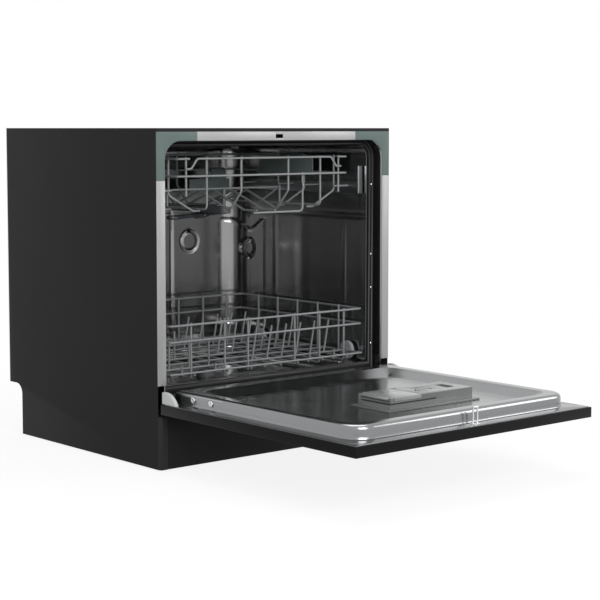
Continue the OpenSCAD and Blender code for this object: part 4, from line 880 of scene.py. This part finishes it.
# Sides: a foot wire with gaps for the wheels, and posts
side_runs, side_foot = ((low_front, 68), (82, 338), (352, low_back)), 160
for side in (-1, 1):
    x = side * low_half
    low += [[(x, y0, low_floor), (x, y1, low_floor)] for y0, y1 in side_runs]
    low += [[(x - side * weld, low_front + low_deep * i / 6, z) for z in (side_foot, post_top)]
            for i in range(1, 6)]
# Tines: leaning ones for plates at the right, upright ones for bowls at the left
plate_x, plate_pitch, plate_lean, plate_top = 14, 36, 12, 221.5
bowl_x, bowl_pitch, bowl_top = -190, 45, 211.5
for k in (0, 2, 4):
    y = rows[k] + weld
    for x in range(plate_x, plate_x + 6 * plate_pitch, plate_pitch):
        low.append([(x - plate_lean, y, low_floor), (x, y, plate_top)])
    for x in range(bowl_x, bowl_x + 3 * bowl_pitch, bowl_pitch):
        low.append([(x, y, low_floor), (x, y, bowl_top)])
low_mesh = wires("lower_rack_wires", coat_grey, low)
place_piece("lower_rack_wires", low_mesh, coat_grey, "lower_rack",
            ("lower_rack_basket",), 60)

# Brackets and stub axles of the wheels, with a collar and a domed end
stub = [(POLE, 229), (3, 229), (3, 238.9), (4.5, 238.9), (4.5, 239.6), (3.6, 240), (POLE, 240)]
bracket = ((-7, 156.5), (7, 156.5), (7, 164), (4, 166.5), (-4, 166.5), (-7, 164))
bracket_faces = grid_faces(2, 6, round_columns=True) + [tuple(range(6))[::-1], tuple(range(6, 12))]
stubs = []
for side in (-1, 1):
    for node in ("lower_wheels_front", "lower_wheels_rear"):
        _, y, axle_z = np.add(*box_of(node)) / 2
        stubs.append(turned([(r, side * h) for r, h in stub], (0, y, axle_z), "x", 20))
        plate = [(side * x, y + dy, z) for x in (227.2, 230.8) for dy, z in bracket]
        stubs.append((plate, bracket_faces))
wheel_brackets = sheet_mesh("wheel_brackets", stubs)
place_piece("wheel_brackets", wheel_brackets, coat_grey, "lower_rack", (), 30)
wheel_grey = moulded("wheel_grey", "8f9294", 0.34)
soften("lower_wheels_front", "wheels_front_pair", wheel_grey, edge=0.8, steps=3)
soften("lower_wheels_rear", "wheels_rear_pair", wheel_grey, edge=0.8, steps=3)

# -------- upper rack
# The upper rack is of the same coated wire. Its floor dips and rises, so that cups lean on it,
# and its runners are folded steel. Two grey-green shelves hang from its wires.

(_, up_front, _), (_, up_back, up_top) = box_of("upper_rack_basket")
up_front, up_back, up_top = up_front + weld / 2, up_back - weld / 2, up_top - weld / 2
up_half, up_dip, up_mid, up_post = 201, 523, 510, 542.5
front, rear, weld_z = up_front + weld, up_back - weld, 511.5
# The top wire dips at both ends of the front
dip = [(183, up_dip), (172, up_dip), (159, up_top)]
high = [[(-x, up_front, z) for x, z in dip] + [(x, up_front, z) for x, z in reversed(dip)],
        [(-up_half, up_back, up_top), (up_half, up_back, up_top)],
        ring_path(up_half, up_front, up_back, up_mid)]
corner_x, corner_foot = 181, 475
# Ribs of the sides (across, height), and hooks that hold the rack to its runners
rib, rib_rows = ((197, up_post), (197, 476), (143, 446), (129, 446)), (73, 160, 240, 355)
hook_in, hook_out, hook_z = 195, 229.9, 484
inner_x, inner_z, prop_y, prop_ends = 135, 450, 162, (452, 482.5)
valley_y, ridge_y, valley_z, ridge_z, rear_z = 76, 166, 444, 477, 480
for side in (-1, 1):
    high.append([(side * 177, up_front, up_top), (side * up_half, up_front, up_top),
                 (side * up_half, up_back, up_top)])
    high.append([(side * corner_x, front, z) for z in (corner_foot, up_post)])
    for y in rib_rows:
        high.append([(side * x, y, z) for x, z in rib])
        high.append([(side * x, y - weld, hook_z) for x in (hook_in, hook_out)])
    high.append([(side * inner_x, y, z) for y, z in
                 ((front, up_post), (front, inner_z), (rear, inner_z), (rear, up_post))])
    high.append([(side * inner_x, prop_y, z) for z in prop_ends])
    # Wires of the cups' floor: down to a valley, up to the ridge, down again and up at the rear
    slopes = [(valley_y, valley_z), (ridge_y, ridge_z), (264, valley_z), (355, valley_z),
              (rear, rear_z)]
    for x, start, top in ((56, [(front, up_post), (front, rear_z)], up_post),
                          (22, [(40, valley_z)], weld_z)):
        high.append([(side * x, y, z) for y, z in [*start, *slopes, (rear, top)]])
# Ridge wire, and the hook-shaped wire that stops the front of the middle wires
ridge_wire_z, stop_x, stop_in, stop_z = 481, 91, -26, 440
high += [[(-137, ridge_y, ridge_wire_z), (137, ridge_y, ridge_wire_z)],
         [(stop_x, front, weld_z), (stop_x, front, 494), (stop_x, front - 3, 487),
          (stop_x, front, 480), (stop_x, front, stop_z), (stop_in, front, stop_z)]]
high_mesh = wires("upper_rack_wires", coat_grey, high, bend=8.0)
place_piece("upper_rack_wires", high_mesh, coat_grey, "upper_rack",
            ("upper_rack_basket",), 60)
runner_steel = rolled("runner_steel", "9fa2a3", 0.3, along=(1, 60, 1))
shelf_green = moulded("shelf_green", "66716f", 0.4, grain=0.0012, shine=0.25)
soften("upper_rack_rails", "rack_runners", runner_steel, edge=0.4)
soften("cup_shelf_right", "cup_shelf_side", shelf_green, edge=0.6)
soften("cup_shelf_rear", "cup_shelf_back", shelf_green, edge=0.6)

# -------- studio
# A pale floor that fades into white, a pale room, three soft lamps and a lens at the height
# of the machine's top, to the left of its front.


def seen_by_lens(tree):
    """1 for rays that come from the lens, by way of gloss or glass too, and 0 for others."""
    ray = tree.nodes.new("ShaderNodeLightPath")
    seen = Sock(tree, ray.outputs["Is Camera Ray"])
    for kind in ("Is Glossy Ray", "Is Transmission Ray"):
        seen = seen.maths("MAXIMUM", seen, Sock(tree, ray.outputs[kind]))
    return seen


def stage_floor():
    """A white floor that keeps the machine's shadow and fades into the white around it."""
    mesh = bpy.data.meshes.new("studio_floor")
    size = 12.0
    corners = [(-size, -size, 0), (size, -size, 0), (size, size, 0), (-size, size, 0)]
    mesh.from_pydata(corners, [], [(0, 1, 2, 3)])
    floor = bpy.data.objects.new("studio_floor", mesh)
    floor.location = (0, 0, -0.0005)
    bpy.context.scene.collection.objects.link(floor)
    material = bpy.data.materials.new("studio_floor")
    material.use_nodes = True
    tree = material.node_tree
    tree.nodes.clear()
    place = Sock(tree, tree.nodes.new("ShaderNodeTexCoord").outputs["Object"])
    reach = place.node("VectorMath", {"operation": "LENGTH"}, {0: place}, pick=1)
    near, far, near_white = 0.6, 1.5, 0.88
    fade = reach.node("MapRange", {"interpolation_type": "SMOOTHSTEP"},
                      {"Value": reach, "From Min": near, "From Max": far, "To Min": near_white,
                       "To Max": 1.0})
    matte = place.node("BsdfDiffuse", {}, {"Color": (0.9, 0.9, 0.9, 1)})
    glow = place.node("Emission", {}, {"Color": (1, 1, 1, 1), "Strength": 1.0})
    both = place.node("MixShader", {}, {0: seen_by_lens(tree) * fade, 1: matte, 2: glow})
    output = tree.nodes.new("ShaderNodeOutputMaterial")
    tree.links.new(both.out, output.inputs[0])
    mesh.materials.append(material)


def soft_lamp(name, place, aim, size, power):
    """A square lamp with a soft white cloth, turned towards a point."""
    data = bpy.data.lights.new(name, "AREA")
    data.shape, data.size, data.energy = "SQUARE", size, power
    lamp = bpy.data.objects.new(name, data)
    lamp.location = place
    lamp.rotation_euler = (Vector(aim) - Vector(place)).to_track_quat("-Z", "Y").to_euler()
    bpy.context.scene.collection.objects.link(lamp)


stage_floor()
world = bpy.data.worlds.new("white_room")
bpy.context.scene.world = world
world.use_nodes = True
room = world.node_tree
room.nodes.clear()
seen = seen_by_lens(room)
pale = seen.node("Background", {}, {"Color": (1, 1, 1, 1), "Strength": 0.55})
white = seen.node("Background", {}, {"Color": (1, 1, 1, 1), "Strength": 1.0})
sky = seen.node("MixShader", {}, {0: seen, 1: pale, 2: white})
room.links.new(sky.out, room.nodes.new("ShaderNodeOutputWorld").inputs[0])
soft_lamp("key_lamp", (-0.9, -2.6, 1.6), (0, 0, 0.25), 1.6, 62)
soft_lamp("fill_lamp", (2.2, -1.8, 1.4), (0, 0, 0.25), 1.4, 22)
soft_lamp("top_lamp", (0.2, 0.3, 2.8), (0, 0, 0.2), 1.8, 30)

# Lens: the place from which the near corners of the cabinet and of the door line up
lens = bpy.data.cameras.new("lens")
lens.sensor_width = 36
pixels_to_focus, frame_pixels = 1636.37, 600
lens.lens = pixels_to_focus * lens.sensor_width / frame_pixels
lens.shift_y = -0.05
lens.clip_start, lens.clip_end = 0.05, 60
camera = bpy.data.objects.new("camera", lens)
camera.location = (-1.91489, -2.28480, 0.59605)
down, right = 4.975, 40.623
camera.rotation_euler = (math.radians(90 - down), 0, math.radians(-right))
bpy.context.scene.collection.objects.link(camera)
bpy.context.scene.camera = camera
bpy.context.scene.view_settings.view_transform = "Standard"
